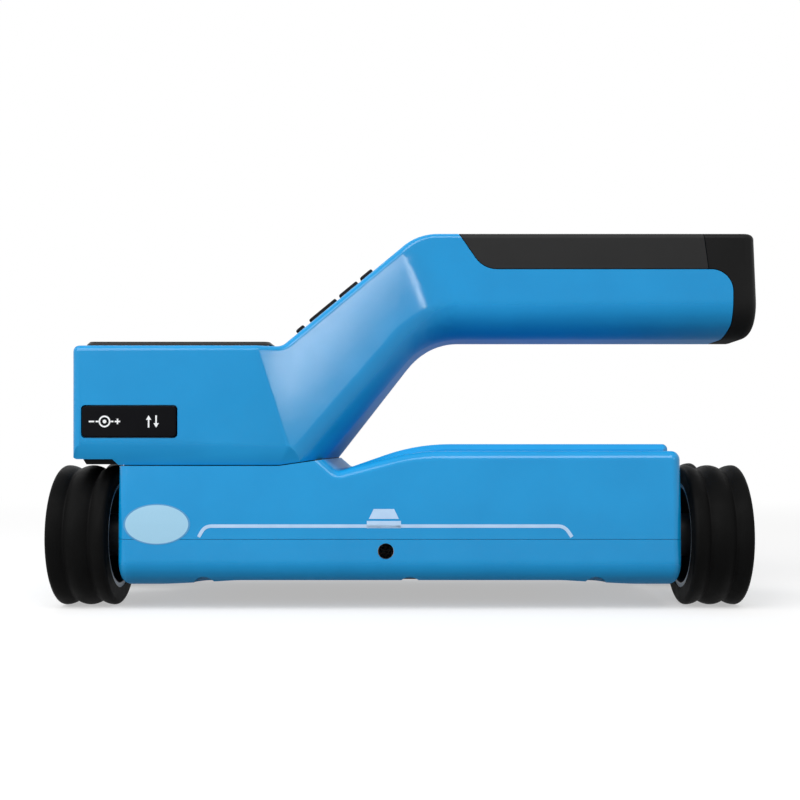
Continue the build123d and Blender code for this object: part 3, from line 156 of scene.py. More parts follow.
def ranged(tree, amount, ends, results, soft=False):
    """An amount between two ends turned into a value between two results, and held there beyond them."""
    span = tree.nodes.new("ShaderNodeMapRange")
    span.interpolation_type = "SMOOTHSTEP" if soft else "LINEAR"
    for socket, value in zip(("From Min", "From Max", "To Min", "To Max"), (*ends, *results)):
        span.inputs[socket].default_value = value
    tree.links.new(amount, span.inputs["Value"])
    return span.outputs["Result"]


def distance(tree, place):
    """How far a place lies from the origin."""
    length = tree.nodes.new("ShaderNodeVectorMath")
    length.operation = "LENGTH"
    tree.links.new(place, length.inputs[0])
    return length.outputs["Value"]


none_to_all = (0.0, 1.0)
print("value helpers ready")

# %% White surroundings
white = (1, 1, 1, 1)
ambient_level = 0.40


def seen_directly(tree):
    """One where a ray comes from the camera, a mirror or glass, and zero for light on the object."""
    rays = tree.nodes.new("ShaderNodeLightPath")
    seen = rays.outputs["Is Camera Ray"]
    for other in ("Is Glossy Ray", "Is Transmission Ray"):
        seen = arithmetic(tree, "MAXIMUM", seen, rays.outputs[other])
    return seen


scene.view_settings.view_transform = "Standard"
world = bpy.data.worlds.new("studio")
world.use_nodes = True
scene.world = world
around = world.node_tree
surround = around.nodes["Background"]
surround.inputs["Color"].default_value = white
level = ranged(around, seen_directly(around), none_to_all, (ambient_level, 1.0))
around.links.new(level, surround.inputs["Strength"])
print(f"surroundings give {ambient_level} of full light")

# %% Floor
floor_half = 6.0
floor_tone = 0.55
floor_glow = 0.45
floor_bounce = 0.42
fade = (0.20, 0.80)
floor_finish = bpy.data.materials.new("floor_paper")
floor_finish.use_nodes = True
paper = floor_finish.node_tree
paper_shader = paper.nodes["Principled BSDF"]
paper_shader.inputs["Roughness"].default_value = 0.9
paper_shader.inputs["Specular IOR Level"].default_value = 0.0
paper_shader.inputs["Emission Color"].default_value = white
away = distance(paper, paper.nodes.new("ShaderNodeTexCoord").outputs["Object"])
glow = ranged(paper, away, fade, (floor_glow, 1.0), soft=True)
shown_glow = arithmetic(paper, "MULTIPLY", seen_directly(paper), glow)
paper.links.new(shown_glow, paper_shader.inputs["Emission Strength"])
diffuse_ray = paper.nodes.new("ShaderNodeLightPath").outputs["Is Diffuse Ray"]
bounced = ranged(paper, diffuse_ray, none_to_all, (1.0, floor_bounce))
tone = ranged(paper, away, fade, (floor_tone, 0.0), soft=True)
paper.links.new(arithmetic(paper, "MULTIPLY", tone, bounced), paper_shader.inputs["Base Color"])

floor_mesh = bpy.data.meshes.new("floor")
corners = ((-1, -1), (1, -1), (1, 1), (-1, 1))
floor_points = [(x * floor_half, y * floor_half, cad_low.z) for x, y in corners]
floor_mesh.from_pydata(floor_points, [], [(0, 1, 2, 3)])
floor_mesh.materials.append(floor_finish)
floor = bpy.data.objects.new("floor", floor_mesh)
scene.collection.objects.link(floor)
print("floor at z =", round(cad_low.z, 4))

# %% [markdown]
# ## How a finish is made
# A moulded part is never one flat colour: the tool leaves a fine grain, the wall sinks a little over ribs,
# and hands polish some patches. Each of these is a noise pattern of a known size in millimetres, fed into
# colour, gloss and bumps. The patterns read object coordinates, so they stay on the part when it moves.

# %% Helpers for patterns
finishes = {}
noise_ends = (0.3, 0.7)


def start_finish(name):
    """A new finish, kept under its name: its node tree, its shader and the place on the part."""
    material = bpy.data.materials.new(name)
    material.use_nodes = True
    finishes[name] = material
    tree = material.node_tree
    return tree, tree.nodes["Principled BSDF"], tree.nodes.new("ShaderNodeTexCoord").outputs["Object"]


def noise(tree, place, size, detail=2.0):
    """Cloudy noise with spots of about one size, in metres."""
    texture = tree.nodes.new("ShaderNodeTexNoise")
    texture.inputs["Scale"].default_value = 1 / size
    texture.inputs["Detail"].default_value = detail
    tree.links.new(place, texture.inputs["Vector"])
    return texture.outputs["Fac"]


def spread(tree, amount, low, high):
    """Noise, which keeps to its middle values, turned into values from low to high."""
    return ranged(tree, amount, noise_ends, (low, high))


def stretched(tree, place, scale):
    """The same place, squeezed along each axis, so that a pattern runs in one direction."""
    mapping = tree.nodes.new("ShaderNodeMapping")
    mapping.inputs["Scale"].default_value = scale
    tree.links.new(place, mapping.inputs["Vector"])
    return mapping.outputs["Vector"]


def along_axes(tree, direction):
    """A place or a direction as its three parts."""
    axes = tree.nodes.new("ShaderNodeSeparateXYZ")
    tree.links.new(direction, axes.inputs["Vector"])
    return axes.outputs


print("pattern helpers ready")

# %% Helpers for colour and relief
def between(tree, amount, first, second):
    """A colour between two, by an amount from nought to one."""
    mix = tree.nodes.new("ShaderNodeMix")
    mix.data_type = "RGBA"
    tree.links.new(amount, mix.inputs["Factor"])
    ends = {socket.name: socket for socket in mix.inputs if socket.type == "RGBA"}
    for end, colour in (("A", first), ("B", second)):
        if isinstance(colour, tuple):
            ends[end].default_value = (*colour, 1)
        else:
            tree.links.new(colour, ends[end])
    return next(socket for socket in mix.outputs if socket.type == "RGBA")


def gloss_spots(tree, shader, place, size, low, high):
    """A roughness that wanders between two values, in spots of about one size."""
    tree.links.new(spread(tree, noise(tree, place, size), low, high), shader.inputs["Roughness"])


def bumps(tree, shader, layers):
    """Relief from several patterns, each with its depth in metres."""
    normal = None
    for height, depth in layers:
        bump = tree.nodes.new("ShaderNodeBump")
        bump.inputs["Distance"].default_value = depth
        tree.links.new(height, bump.inputs["Height"])
        if normal:
            tree.links.new(normal, bump.inputs["Normal"])
        normal = bump.outputs["Normal"]
    tree.links.new(normal, shader.inputs["Normal"])


def coarser(tree, polish, start, full, rough):
    """The gloss of a part, with a coarser texture from the tool where a face turns up or down."""
    facing = tree.nodes.new("ShaderNodeNewGeometry").outputs["Normal"]
    turned = ranged(tree, along_axes(tree, facing)["Z"], (start, full), none_to_all, soft=True)
    mixed = tree.nodes.new("ShaderNodeMix")
    mixed.inputs["B"].default_value = rough
    tree.links.new(turned, mixed.inputs["Factor"])
    tree.links.new(polish, mixed.inputs["A"])
    return mixed.outputs["Result"]


print("colour and relief helpers ready")

# %% A moulded finish
def moulded(
    name, dark, light, gloss, grain, depth, specular=0.5, patch=14 * mm, sink=0.012 * mm, coarse=()
):
    """A moulded plastic or rubber with patches in its colour and gloss, a fine grain and slow sink marks."""
    tree, shader, place = start_finish(name)
    shader.inputs["Specular IOR Level"].default_value = specular
    tone = spread(tree, noise(tree, place, patch, 3.0), *none_to_all)
    tree.links.new(between(tree, tone, dark, light), shader.inputs["Base Color"])
    polish = spread(tree, noise(tree, place, patch / 3, 3.0), *gloss)
    for start, full, rough in coarse:
        polish = coarser(tree, polish, start, full, rough)
    tree.links.new(polish, shader.inputs["Roughness"])
    relief = [(noise(tree, place, grain, 1.0), depth), (noise(tree, place, patch / 2, 1.0), sink)]
    bumps(tree, shader, relief)


print("moulded finish ready")

# %% [markdown]
# ## Blue housing
# The shells are injection moulded in a saturated blue with a satin, spark-eroded surface. The colour has
# almost no red of its own: the paler blues in the photograph are reflections, so they are left to the
# shader's gloss and the lamps. Sides that face up or down come from a coarser part of the mould and mirror
# less, so the gloss also follows the way a face is turned.

# %% Blue housing
# A coarser side: a face's upward part where it starts and where it is full, and its roughness there.
tool_below = (0.1, -0.6, 0.60)
tool_above = (0.60, 0.76, 0.52)
moulded(
    "blue_housing",
    dark=(0.001, 0.265, 0.590),
    light=(0.002, 0.285, 0.625),
    gloss=(0.13, 0.16),
    grain=0.60 * mm,
    depth=0.002 * mm,
    specular=0.38,
    coarse=(tool_below, tool_above),
)
print("blue housing, satin")

# %% [markdown]
# ## Black rubbers and plastics
# Eight dark finishes meet on this object, and they differ mostly in gloss and grain: the soft grip is a dull
# charcoal, the battery cap a finer black, the tyres a matt rubber that mirrors almost nothing. One function
# with different sizes makes them all.

# %% Blacks
cap_below = (0.1, -0.6, 0.85)
# Each black has its darker and lighter tone, its gloss, its grain and depth in millimetres and its mirroring.
blacks = {
    "soft_grip": ((0.008, 0.008, 0.008), (0.010, 0.010, 0.010), (0.53, 0.58), 0.30, 0.010, 0.20),
    "black_plastic": ((0.004, 0.004, 0.004), (0.006, 0.006, 0.006), (0.38, 0.48), 0.40, 0.010, 0.10),
    "cover_rubber": ((0.002, 0.002, 0.003), (0.004, 0.004, 0.005), (0.50, 0.60), 0.25, 0.010, 0.05),
    "key_rubber": ((0.004, 0.004, 0.005), (0.007, 0.007, 0.008), (0.55, 0.65), 0.25, 0.008, 0.12),
    "tyre_rubber": ((0.002, 0.002, 0.002), (0.004, 0.004, 0.004), (0.48, 0.62), 0.30, 0.020, 0.04),
    "seal_rubber": ((0.010, 0.010, 0.011), (0.014, 0.014, 0.015), (0.60, 0.70), 0.25, 0.010, 0.25),
    "frame_plastic": ((0.007, 0.007, 0.007), (0.009, 0.009, 0.009), (0.24, 0.28), 0.30, 0.001, 0.35),
    "dark_component": ((0.012, 0.012, 0.013), (0.020, 0.020, 0.021), (0.45, 0.55), 0.20, 0.008, 0.40),
}
extras = {
    "soft_grip": {"sink": 0.004 * mm},
    "black_plastic": {"coarse": [cap_below]},
    "frame_plastic": {"sink": 0.002 * mm},
}
for name, (dark, light, gloss, grain, depth, specular) in blacks.items():
    moulded(name, dark, light, gloss, grain * mm, depth * mm, specular, **extras.get(name, {}))
print(len(blacks), "black finishes")

# %% [markdown]
# ## Pale plastics
# The hubs show as a thin pale ring beside each tyre, and the bushes inside the base are of a waxy
# low-friction plastic. Both get the same recipe as the blue, in their own colours. Inside its ring, on the
# side towards the base, each hub gets painted shade: a dark tone within a distance from the axle, for the
# shadow in the narrow gap there.

# %% Pale plastics
moulded(
    "hub_plastic",
    dark=(0.62, 0.72, 0.80),
    light=(0.68, 0.78, 0.86),
    gloss=(0.34, 0.44),
    grain=0.35 * mm,
    depth=0.006 * mm,
)
moulded(
    "bush_plastic",
    dark=(0.52, 0.50, 0.44),
    light=(0.60, 0.58, 0.51),
    gloss=(0.36, 0.46),
    grain=0.30 * mm,
    depth=0.005 * mm,
)
print("2 pale finishes")

# %% Painted shade inside the hubs
ring_inside = 14.9 * mm
# A dark tone painted inside each hub's ring, on the side towards the base, as shade in the narrow gap there.
painted_shade_tone = (0.010, 0.012, 0.016)


def middle_of(part):
    """The middle of a part's box."""
    low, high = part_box(part)
    return (low + high) / 2


left_axle = middle_of("hub_front_left")
right_axle = middle_of("hub_front_right")
web_middle = (left_axle.x + right_axle.x) / 2
web_half = (right_axle.x - left_axle.x) / 2

tree = finishes["hub_plastic"].node_tree
hub_tone = tree.nodes["Principled BSDF"].inputs["Base Color"]
axes = along_axes(tree, tree.nodes.new("ShaderNodeTexCoord").outputs["Object"])
beside = arithmetic(tree, "SUBTRACT", arithmetic(tree, "ABSOLUTE", axes["Y"]), abs(right_axle.y))
above = arithmetic(tree, "SUBTRACT", axes["Z"], right_axle.z)
beside_squared = arithmetic(tree, "POWER", beside, 2.0)
reach_squared = arithmetic(tree, "ADD", beside_squared, arithmetic(tree, "POWER", above, 2.0))
in_ring = arithmetic(tree, "LESS_THAN", reach_squared, ring_inside**2)
along = arithmetic(tree, "ABSOLUTE", arithmetic(tree, "SUBTRACT", axes["X"], web_middle))
# Where the painted shade goes: inside the ring, on the inner side of each hub between the two wheels of an
# axle.
recess = arithmetic(tree, "MULTIPLY", in_ring, arithmetic(tree, "LESS_THAN", along, web_half))
tree.links.new(between(tree, recess, hub_tone.links[0].from_socket, painted_shade_tone), hub_tone)
print("hub rings dark inside", ring_inside / mm, "mm")

# %% [markdown]
# ## Glass and screen
# The display window is clear, with faint wiping marks that only show in its gloss. The screen below it is
# switched off, so it is a dark panel with its fine grid of picture elements. The small laser windows are
# deep red glass with a coating that takes away most of the reflection, so each reads as a dark hole.

# %% Window and laser glass
wiping = (1, 3, 1)


def glass(name, colour, gloss, smear, bending):
    """Clear or tinted glass with wiping marks in its gloss and a strength of bending and mirroring light."""
    tree, shader, place = start_finish(name)
    shader.inputs["Base Color"].default_value = (*colour, 1)
    shader.inputs["Transmission Weight"].default_value = 1.0
    shader.inputs["IOR"].default_value = bending
    marks = noise(tree, stretched(tree, place, wiping), smear, 4.0)
    tree.links.new(spread(tree, marks, *gloss), shader.inputs["Roughness"])


glass("window_glass", colour=(0.96, 0.98, 0.98), gloss=(0.01, 0.03), smear=9 * mm, bending=1.49)
glass("laser_glass", colour=(0.30, 0.06, 0.035), gloss=(0.04, 0.10), smear=1 * mm, bending=1.12)
print("2 glasses")

# %% Dark screen
pixel = 0.30 * mm
pixel_gap = pixel / 10


def bricks(tree, place, sides, gap, tones, offset):
    """A pattern of cells in two tones with a gap in a third, each row shifted by a share of a cell."""
    pattern = tree.nodes.new("ShaderNodeTexBrick")
    pattern.offset = offset
    pattern.inputs["Scale"].default_value = 1.0
    pattern.inputs["Brick Width"].default_value = sides[0]
    pattern.inputs["Row Height"].default_value = sides[1]
    pattern.inputs["Mortar Size"].default_value = gap
    for socket, tone in zip(("Color1", "Color2", "Mortar"), tones):
        pattern.inputs[socket].default_value = (*tone, 1)
    tree.links.new(place, pattern.inputs["Vector"])
    return pattern.outputs


tree, shader, place = start_finish("screen")
screen_tones = ((0.012, 0.017, 0.018), (0.014, 0.019, 0.020), (0.010, 0.014, 0.015))
grid = bricks(tree, place, (pixel, pixel), pixel_gap, screen_tones, offset=0.0)
tree.links.new(grid["Color"], shader.inputs["Base Color"])
gloss_spots(tree, shader, place, size=12 * mm, low=0.18, high=0.26)
print("screen with picture elements of", pixel / mm, "mm")

# %% [markdown]
# ## Metals and inner parts
# Behind the battery cap and inside the shells are steel shafts and screws, brass contacts, a copper coil,
# green boards and the battery cells. They show when the cap slides off or a side is opened, so they get a
# brushed grain, wound wire, printed tracks and a plain two-tone wrap.

# %% Metals
brushing = (0.06, 1, 1)
brush_depth = 0.002 * mm
streak_tone = 0.8


def metal(name, colour, gloss, brush):
    """Metal with a brushed grain along X."""
    tree, shader, place = start_finish(name)
    shader.inputs["Metallic"].default_value = 1.0
    streaks = noise(tree, stretched(tree, place, brushing), brush, 3.0)
    darker = tuple(streak_tone * part for part in colour)
    tone = between(tree, spread(tree, streaks, *none_to_all), darker, colour)
    tree.links.new(tone, shader.inputs["Base Color"])
    tree.links.new(spread(tree, streaks, *gloss), shader.inputs["Roughness"])
    bumps(tree, shader, [(streaks, brush_depth)])


metal("steel", colour=(0.58, 0.59, 0.60), gloss=(0.24, 0.36), brush=0.12 * mm)
metal("black_steel", colour=(0.020, 0.020, 0.022), gloss=(0.36, 0.48), brush=0.12 * mm)
metal("brass", colour=(0.72, 0.52, 0.24), gloss=(0.22, 0.34), brush=0.15 * mm)
print("3 metals")

# %% Copper winding
wire = 0.35 * mm
wire_relief = wire / 3
# At a scale of one, a wave texture has one band in this length.
unit_band = math.pi / 10
wire_tones = ((0.16, 0.045, 0.018), (0.62, 0.24, 0.10))
tree, shader, place = start_finish("copper_winding")
turns = tree.nodes.new("ShaderNodeTexWave")
turns.bands_direction = "Z"
turns.inputs["Scale"].default_value = unit_band / wire
turns.inputs["Distortion"].default_value = 0.4
tree.links.new(place, turns.inputs["Vector"])
tree.links.new(between(tree, turns.outputs["Fac"], *wire_tones), shader.inputs["Base Color"])
shader.inputs["Metallic"].default_value = 1.0
shader.inputs["Roughness"].default_value = 0.30
shader.inputs["Coat Weight"].default_value = 0.6
bumps(tree, shader, [(turns.outputs["Fac"], wire_relief)])
print("coil wire of", wire / mm, "mm")

# %% Circuit board
track_pitch = 1.2 * mm
track_run = 6 * track_pitch
track_width = track_pitch / 6
track_height = 0.02 * mm
board_tones = ((0.012, 0.110, 0.040), (0.014, 0.125, 0.046), (0.040, 0.230, 0.085))
tree, shader, place = start_finish("circuit_board")
tracks = bricks(tree, place, (track_run, track_pitch), track_width, board_tones, offset=0.5)
tree.links.new(tracks["Color"], shader.inputs["Base Color"])
gloss_spots(tree, shader, place, size=4 * mm, low=0.28, high=0.40)
bumps(tree, shader, [(tracks["Fac"], track_height)])
print("board tracks every", track_pitch / mm, "mm")

# %% Cell wrap
cell_low, cell_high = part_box("battery_cells")
wrap_bands = ((0.0, 0.50), (0.03, 0.045), (0.30, 0.32), (0.70, 0.045), (0.97, 0.50))
blue_cast = 1.05
tree, shader, place = start_finish("cell_wrap")
along_cell = ranged(tree, along_axes(tree, place)["X"], (cell_low.x, cell_high.x), none_to_all)
bands = tree.nodes.new("ShaderNodeValToRGB")
bands.color_ramp.interpolation = "CONSTANT"
for stop, tone in wrap_bands:
    element = bands.color_ramp.elements.new(stop)
    element.color = (tone, tone, blue_cast * tone, 1)
tree.links.new(along_cell, bands.inputs["Fac"])
tree.links.new(bands.outputs["Color"], shader.inputs["Base Color"])
gloss_spots(tree, shader, place, size=3 * mm, low=0.22, high=0.34)
print("cells", round((cell_high.x - cell_low.x) / mm, 1), "mm long")

# %% [markdown]
# ## Dressing the parts
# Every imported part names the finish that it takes, so a loop over the material slots dresses them all.
# The parts come as fine triangles, which a gloss would show as facets. Three modifiers cure that without
# touching a vertex: a weld joins the triangles, a small node tree marks the true edges by their angle, and
# weighted normals keep the flat faces flat beside their rounded edges.

# %% Finishes on every part
for part in nodes.values():
    for slot in part.material_slots:
        slot.material = finishes[slot.material.name]
print(len(nodes), "parts dressed in", len(finishes), "finishes")

# %% Smooth shading with crisp edges
edge_angle = math.radians(24)
weld_gap = 0.002 * mm


def mesh_tree(name, inputs):
    """A node tree that changes a mesh, with named inputs of given kinds, and its first and last node."""
    tree = bpy.data.node_groups.new(name, "GeometryNodeTree")
    for socket, kind in {"Geometry": "Geometry", **inputs}.items():
        tree.interface.new_socket(socket, in_out="INPUT", socket_type=f"NodeSocket{kind}")
    tree.interface.new_socket("Geometry", in_out="OUTPUT", socket_type="NodeSocketGeometry")
    return tree, tree.nodes.new("NodeGroupInput"), tree.nodes.new("NodeGroupOutput")


def smooth_tree():
    """Smooth faces, with an edge kept sharp where its two faces meet at more than a set angle."""
    tree, start, end = mesh_tree("smooth_faces", {"Edge Angle": "Float"})
    tree.interface.items_tree["Edge Angle"].default_value = edge_angle
    plain = tree.nodes.new("GeometryNodeRemoveAttribute")
    plain.inputs["Name"].default_value = "custom_normal"
    faces = tree.nodes.new("GeometryNodeSetShadeSmooth")
    edges = tree.nodes.new("GeometryNodeSetShadeSmooth")
    edges.domain = "EDGE"
    fold = tree.nodes.new("GeometryNodeInputMeshEdgeAngle")
    gentle = tree.nodes.new("FunctionNodeCompare")
    gentle.operation = "LESS_EQUAL"
    tree.links.new(fold.outputs["Unsigned Angle"], gentle.inputs["A"])
    tree.links.new(start.outputs["Edge Angle"], gentle.inputs["B"])
    tree.links.new(gentle.outputs["Result"], edges.inputs["Shade Smooth"])
    chain = (start, plain, faces, edges, end)
    for before, after in zip(chain, chain[1:]):
        tree.links.new(before.outputs["Geometry"], after.inputs["Geometry"])
    return tree


smooth_faces = smooth_tree()
for part in nodes.values():
    weld = part.modifiers.new("weld", "WELD")
    weld.merge_threshold = weld_gap
    part.modifiers.new("smooth_faces", "NODES").node_group = smooth_faces
    weighted = part.modifiers.new("weighted", "WEIGHTED_NORMAL")
    weighted.keep_sharp = True
print("smooth shading on", len(nodes), "parts")

# %% [markdown]
# ## Printed marks
# The marks on the object are ink: thin films that follow the surface below them. Each mark is drawn flat
# from strokes and filled outlines, cut into small cells, and then every point is dropped onto the part by a
# ray, so that it lies on a curved side as well as on a flat one. A film of a few hundredths of a millimetre
# is enough.

# %% Strokes and filled outlines
mitre_limit = 0.3


def stroke(points, width, closed=False):
    """A line of one width along points in a plane, as quads with mitred corners."""
    places = [Vector(p) for p in points]
    count = len(places)
    sides = []
    for index, place in enumerate(places):
        before = places[index - 1] if index or closed else None
        after = places[(index + 1) % count] if index < count - 1 or closed else None
        runs = [b - a for a, b in ((before, place), (place, after)) if a is not None and b is not None]
        runs = [run.normalized() for run in runs]
        mean = sum(runs, Vector((0, 0))).normalized()
        across = Vector((-mean.y, mean.x)) * width / 2 / max(mean.dot(runs[0]), mitre_limit)
        sides.append((place + across, place - across))
    steps = [(i, (i + 1) % count) for i in range(count if closed else count - 1)]
    return [(sides[i][1], sides[j][1], sides[j][0], sides[i][0]) for i, j in steps]


def filled(points):
    """A filled convex outline."""
    return [tuple(Vector(p) for p in points)]


def ring(centre, radius, start=0.0, sweep=360.0, steps=32):
    """Points round a circle or a part of it."""
    closed = sweep == 360.0
    angles = [math.radians(start + sweep * i / (steps if closed else steps - 1)) for i in range(steps)]
    return [(centre[0] + radius * math.cos(a), centre[1] + radius * math.sin(a)) for a in angles]


print("strokes and filled outlines ready")

# %% Inks
ink = {"gloss": (0.40, 0.55), "grain": 0.20 * mm, "depth": 0.003 * mm, "patch": 4 * mm}
moulded("white_ink", dark=(0.80, 0.82, 0.84), light=(0.88, 0.89, 0.90), **ink)
moulded("pale_ink", dark=(0.40, 0.58, 0.80), light=(0.46, 0.64, 0.86), **ink)
moulded("key_ink", dark=(0.62, 0.66, 0.68), light=(0.70, 0.74, 0.76), **ink)
print("3 inks")

# %% Dropping a film onto a part
ink_cell = 0.8 * mm
ray_start = 20 * mm


def cut_into_cells(film):
    """A flat film cut along both axes, so that it can follow a curved side."""
    for axis in (0, 1):
        low = min(v.co[axis] for v in film.verts)
        high = max(v.co[axis] for v in film.verts)
        for step in range(1, math.ceil((high - low) / ink_cell)):
            cut = Vector((0, 0, 0))
            cut[axis] = low + step * ink_cell
            across = Vector((0, 0, 0))
            across[axis] = 1
            everything = film.verts[:] + film.edges[:] + film.faces[:]
            bmesh.ops.bisect_plane(film, geom=everything, plane_co=cut, plane_no=across)


def dropped(place, out, trees):
    """Where a point meets the parts below it, or the level beside it where it falls into a joint."""
    hits = [tree.ray_cast(place + out * ray_start, -out) for tree in trees]
    hits = [hit for hit in hits if hit[0] is not None]
    if hits:
        return min(hits, key=lambda hit: hit[3])[0]
    near = min((tree.find_nearest(place) for tree in trees), key=lambda hit: hit[3])[0]
    return place + out * (near - place).dot(out)


print(f"films are cut every {ink_cell / mm} mm")

# %% Laying ink on a surface
ink_lift = 0.015 * mm
ink_film = 0.04 * mm
same_point = 0.001 * mm
shown = bpy.context.evaluated_depsgraph_get()


def lay(name, faces, on, origin, right, up, finish, body):
    """Ink in the shape of flat faces, in millimetres, laid on parts that face the reader."""
    out = right.cross(up)
    film = bmesh.new()
    for face in faces:
        film.faces.new([film.verts.new((p[0] * mm, p[1] * mm, 0)) for p in face])
    bmesh.ops.remove_doubles(film, verts=film.verts, dist=same_point)
    cut_into_cells(film)
    trees = [BVHTree.FromObject(nodes[part], shown) for part in on]
    for vert in film.verts:
        vert.co = dropped(origin + right * vert.co.x + up * vert.co.y, out, trees) + out * ink_lift
    grown = bmesh.ops.extrude_face_region(film, geom=film.faces[:])["geom"]
    for vert in grown:
        if isinstance(vert, bmesh.types.BMVert):
            vert.co += out * ink_film
    bmesh.ops.recalc_face_normals(film, faces=film.faces)
    mesh = bpy.data.meshes.new(name)
    film.to_mesh(mesh)
    film.free()
    mesh.materials.append(finishes[finish])
    mark = bpy.data.objects.new(name, mesh)
    scene.collection.objects.link(mark)
    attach(mark, body)
    print(name, "laid with", len(mesh.polygons), "faces")


print(f"ink film {ink_film / mm} mm thick")

# %% [markdown]
# ## Marks on the side of the base
# A long pale bracket on the side shows the width that the detector covers, and a small stepped mark over
# the laser hole shows its middle. They are laid over both halves of the base, because the bracket's ends
# reach down to the joint between them.

# %% Bracket
side_right = Vector((1, 0, 0))
side_up = Vector((0, 0, 1))
side_plane = (Vector((0, cad_low.y, 0)), side_right, side_up)
base_parts = ("base_shell", "base_tray")
line_z = 25.4
line_width = 1.0
bracket_feet = (Vector((-64.0, 22.2)), Vector((45.4, 22.2)))
bracket_corners = (Vector((-62.2, line_z)), Vector((43.3, line_z)))
bend_reach = 2.0
bend_steps = 6


def bend(foot, corner, inwards):
    """A slanting foot and the rounded corner above it, as points from the foot to the long line."""
    start = corner + (foot - corner).normalized() * bend_reach
    end = corner + Vector((inwards, 0)) * bend_reach
    shares = [i / bend_steps for i in range(bend_steps + 1)]
    return [foot] + [(1 - s) ** 2 * start + 2 * s * (1 - s) * corner + s**2 * end for s in shares]


bracket_left = bend(bracket_feet[0], bracket_corners[0], 1)
bracket_right = bend(bracket_feet[1], bracket_corners[1], -1)
bracket = stroke(bracket_left + bracket_right[::-1], line_width)
lay("range_bracket", bracket, base_parts, *side_plane, "pale_ink", "chassis")

# %% Middle mark
middle_x = -9.7
# Each block has its lower and upper edge, and half its width at each of them.
mark_blocks = ((27.5, 30.4, 4.4, 3.0), (24.8, 26.9, 5.0, 5.0))
middle_mark = []
for bottom, top, wide, narrow in mark_blocks:
    foot_corners = [(middle_x - wide, bottom), (middle_x + wide, bottom)]
    top_corners = [(middle_x + narrow, top), (middle_x - narrow, top)]
    middle_mark += filled(foot_corners + top_corners)
lay("middle_mark", middle_mark, base_parts, *side_plane, "pale_ink", "chassis")

# %% [markdown]
# ## Oval plate
# Near the left end a small oval plate of pale printed film is stuck on the side. It is plain, with a fine
# darker line round its edge. That line is part of the film's own print, so it is drawn in the finish by the
# distance from the middle and not as a second piece.

# %% Oval plate
plate_x, plate_z = -76.3, 25.9
half_x, half_z = 9.8, 6.0
edge_start = 0.945
edge_tone = (0.06, 0.27, 0.52)
film_tones = ((0.318, 0.565, 0.740), (0.334, 0.585, 0.760))
oval = [(plate_x + half_x * x, plate_z + half_z * z) for x, z in ring((0, 0), 1, steps=64)]

tree, shader, place = start_finish("plate_film")
centred = tree.nodes.new("ShaderNodeMapping")
centred.inputs["Location"].default_value = (-plate_x / half_x, 0, -plate_z / half_z)
centred.inputs["Scale"].default_value = (1 / half_x / mm, 0, 1 / half_z / mm)
tree.links.new(place, centred.inputs["Vector"])
at_edge = arithmetic(tree, "GREATER_THAN", distance(tree, centred.outputs["Vector"]), edge_start)
fibre = spread(tree, noise(tree, place, 0.25 * mm), *none_to_all)
film_tone = between(tree, fibre, *film_tones)
tree.links.new(between(tree, at_edge, film_tone, edge_tone), shader.inputs["Base Color"])
gloss_spots(tree, shader, place, size=8 * mm, low=0.30, high=0.34)
lay("oval_plate", filled(oval), base_parts, *side_plane, "plate_film", "chassis")

# %% [markdown]
# ## Signs on the port cover
# The rubber cover hides a charging socket and a data socket. Two general signs tell them apart: a round
# socket between a minus and a plus, and a pair of arrows. They ride on the cover, so they swing with it.

# %% Charging sign
sign_line = 0.45
sign_z = middle_of("port_cover").z / mm
jack_x = middle_of("charge_socket").x / mm
jack_radius = 1.5
pin_radius = 0.55
lead_end = 2.6
dash_start, dash_end = 3.0, 4.6
plus_x = (dash_start + dash_end) / 2
plus_half = (dash_end - dash_start) / 2


def moved(points, x, z):
    """Points shifted to a place on the cover."""
    return [(x + p[0], z + p[1]) for p in points]


jack_sign = stroke(ring((0, 0), jack_radius), sign_line, closed=True)
jack_sign += filled(ring((0, 0), pin_radius, steps=20))
for side in (-1, 1):
    jack_sign += stroke([(side * jack_radius, 0), (side * lead_end, 0)], sign_line)
    jack_sign += stroke([(side * dash_start, 0), (side * dash_end, 0)], sign_line)
jack_sign += stroke([(plus_x, plus_half), (plus_x, sign_line / 2)], sign_line)
jack_sign += stroke([(plus_x, -sign_line / 2), (plus_x, -plus_half)], sign_line)
jack_sign = [moved(face, jack_x, sign_z) for face in jack_sign]
lay("charge_sign", jack_sign, ("port_cover",), *side_plane, "white_ink", "port_flap")

# %% Data sign
data_x = middle_of("data_socket").x / mm
arrow_half = 1.8
arrow_head = 1.3
head_half = 0.78
arrow_shift = 1.1
neck = arrow_half - arrow_head
arrow = stroke([(0, -arrow_half), (0, neck)], sign_line)
arrow += filled([(-head_half, neck), (head_half, neck), (0, arrow_half)])
data_sign = [moved(face, data_x - arrow_shift, sign_z) for face in arrow]
data_sign += [[(data_x + arrow_shift - p[0], sign_z - p[1]) for p in face] for face in arrow]
lay("data_sign", data_sign, ("port_cover",), *side_plane, "white_ink", "port_flap")

# %% [markdown]
# ## Signs on the keys
# Eight rubber keys lie on the slope, and each has a plain sign in pale ink: lines for a list, a turned arrow
# to go back, two arrowheads, a ring to confirm, an arrow into a tray to store, a lamp and a power sign. The
# press direction of each key's joint gives the slope, so no angle is written twice. The reader holds the
# scanner with the display end up, which is why the signs stand that way.

# %% Key signs
press = Vector(next(j["axis"] for j in frame["joints"] if j["name"] == "key_ok_press"))
key_up = Vector((press.z, 0, -press.x))
key_right = Vector((0, 1, 0))
thin = 0.32

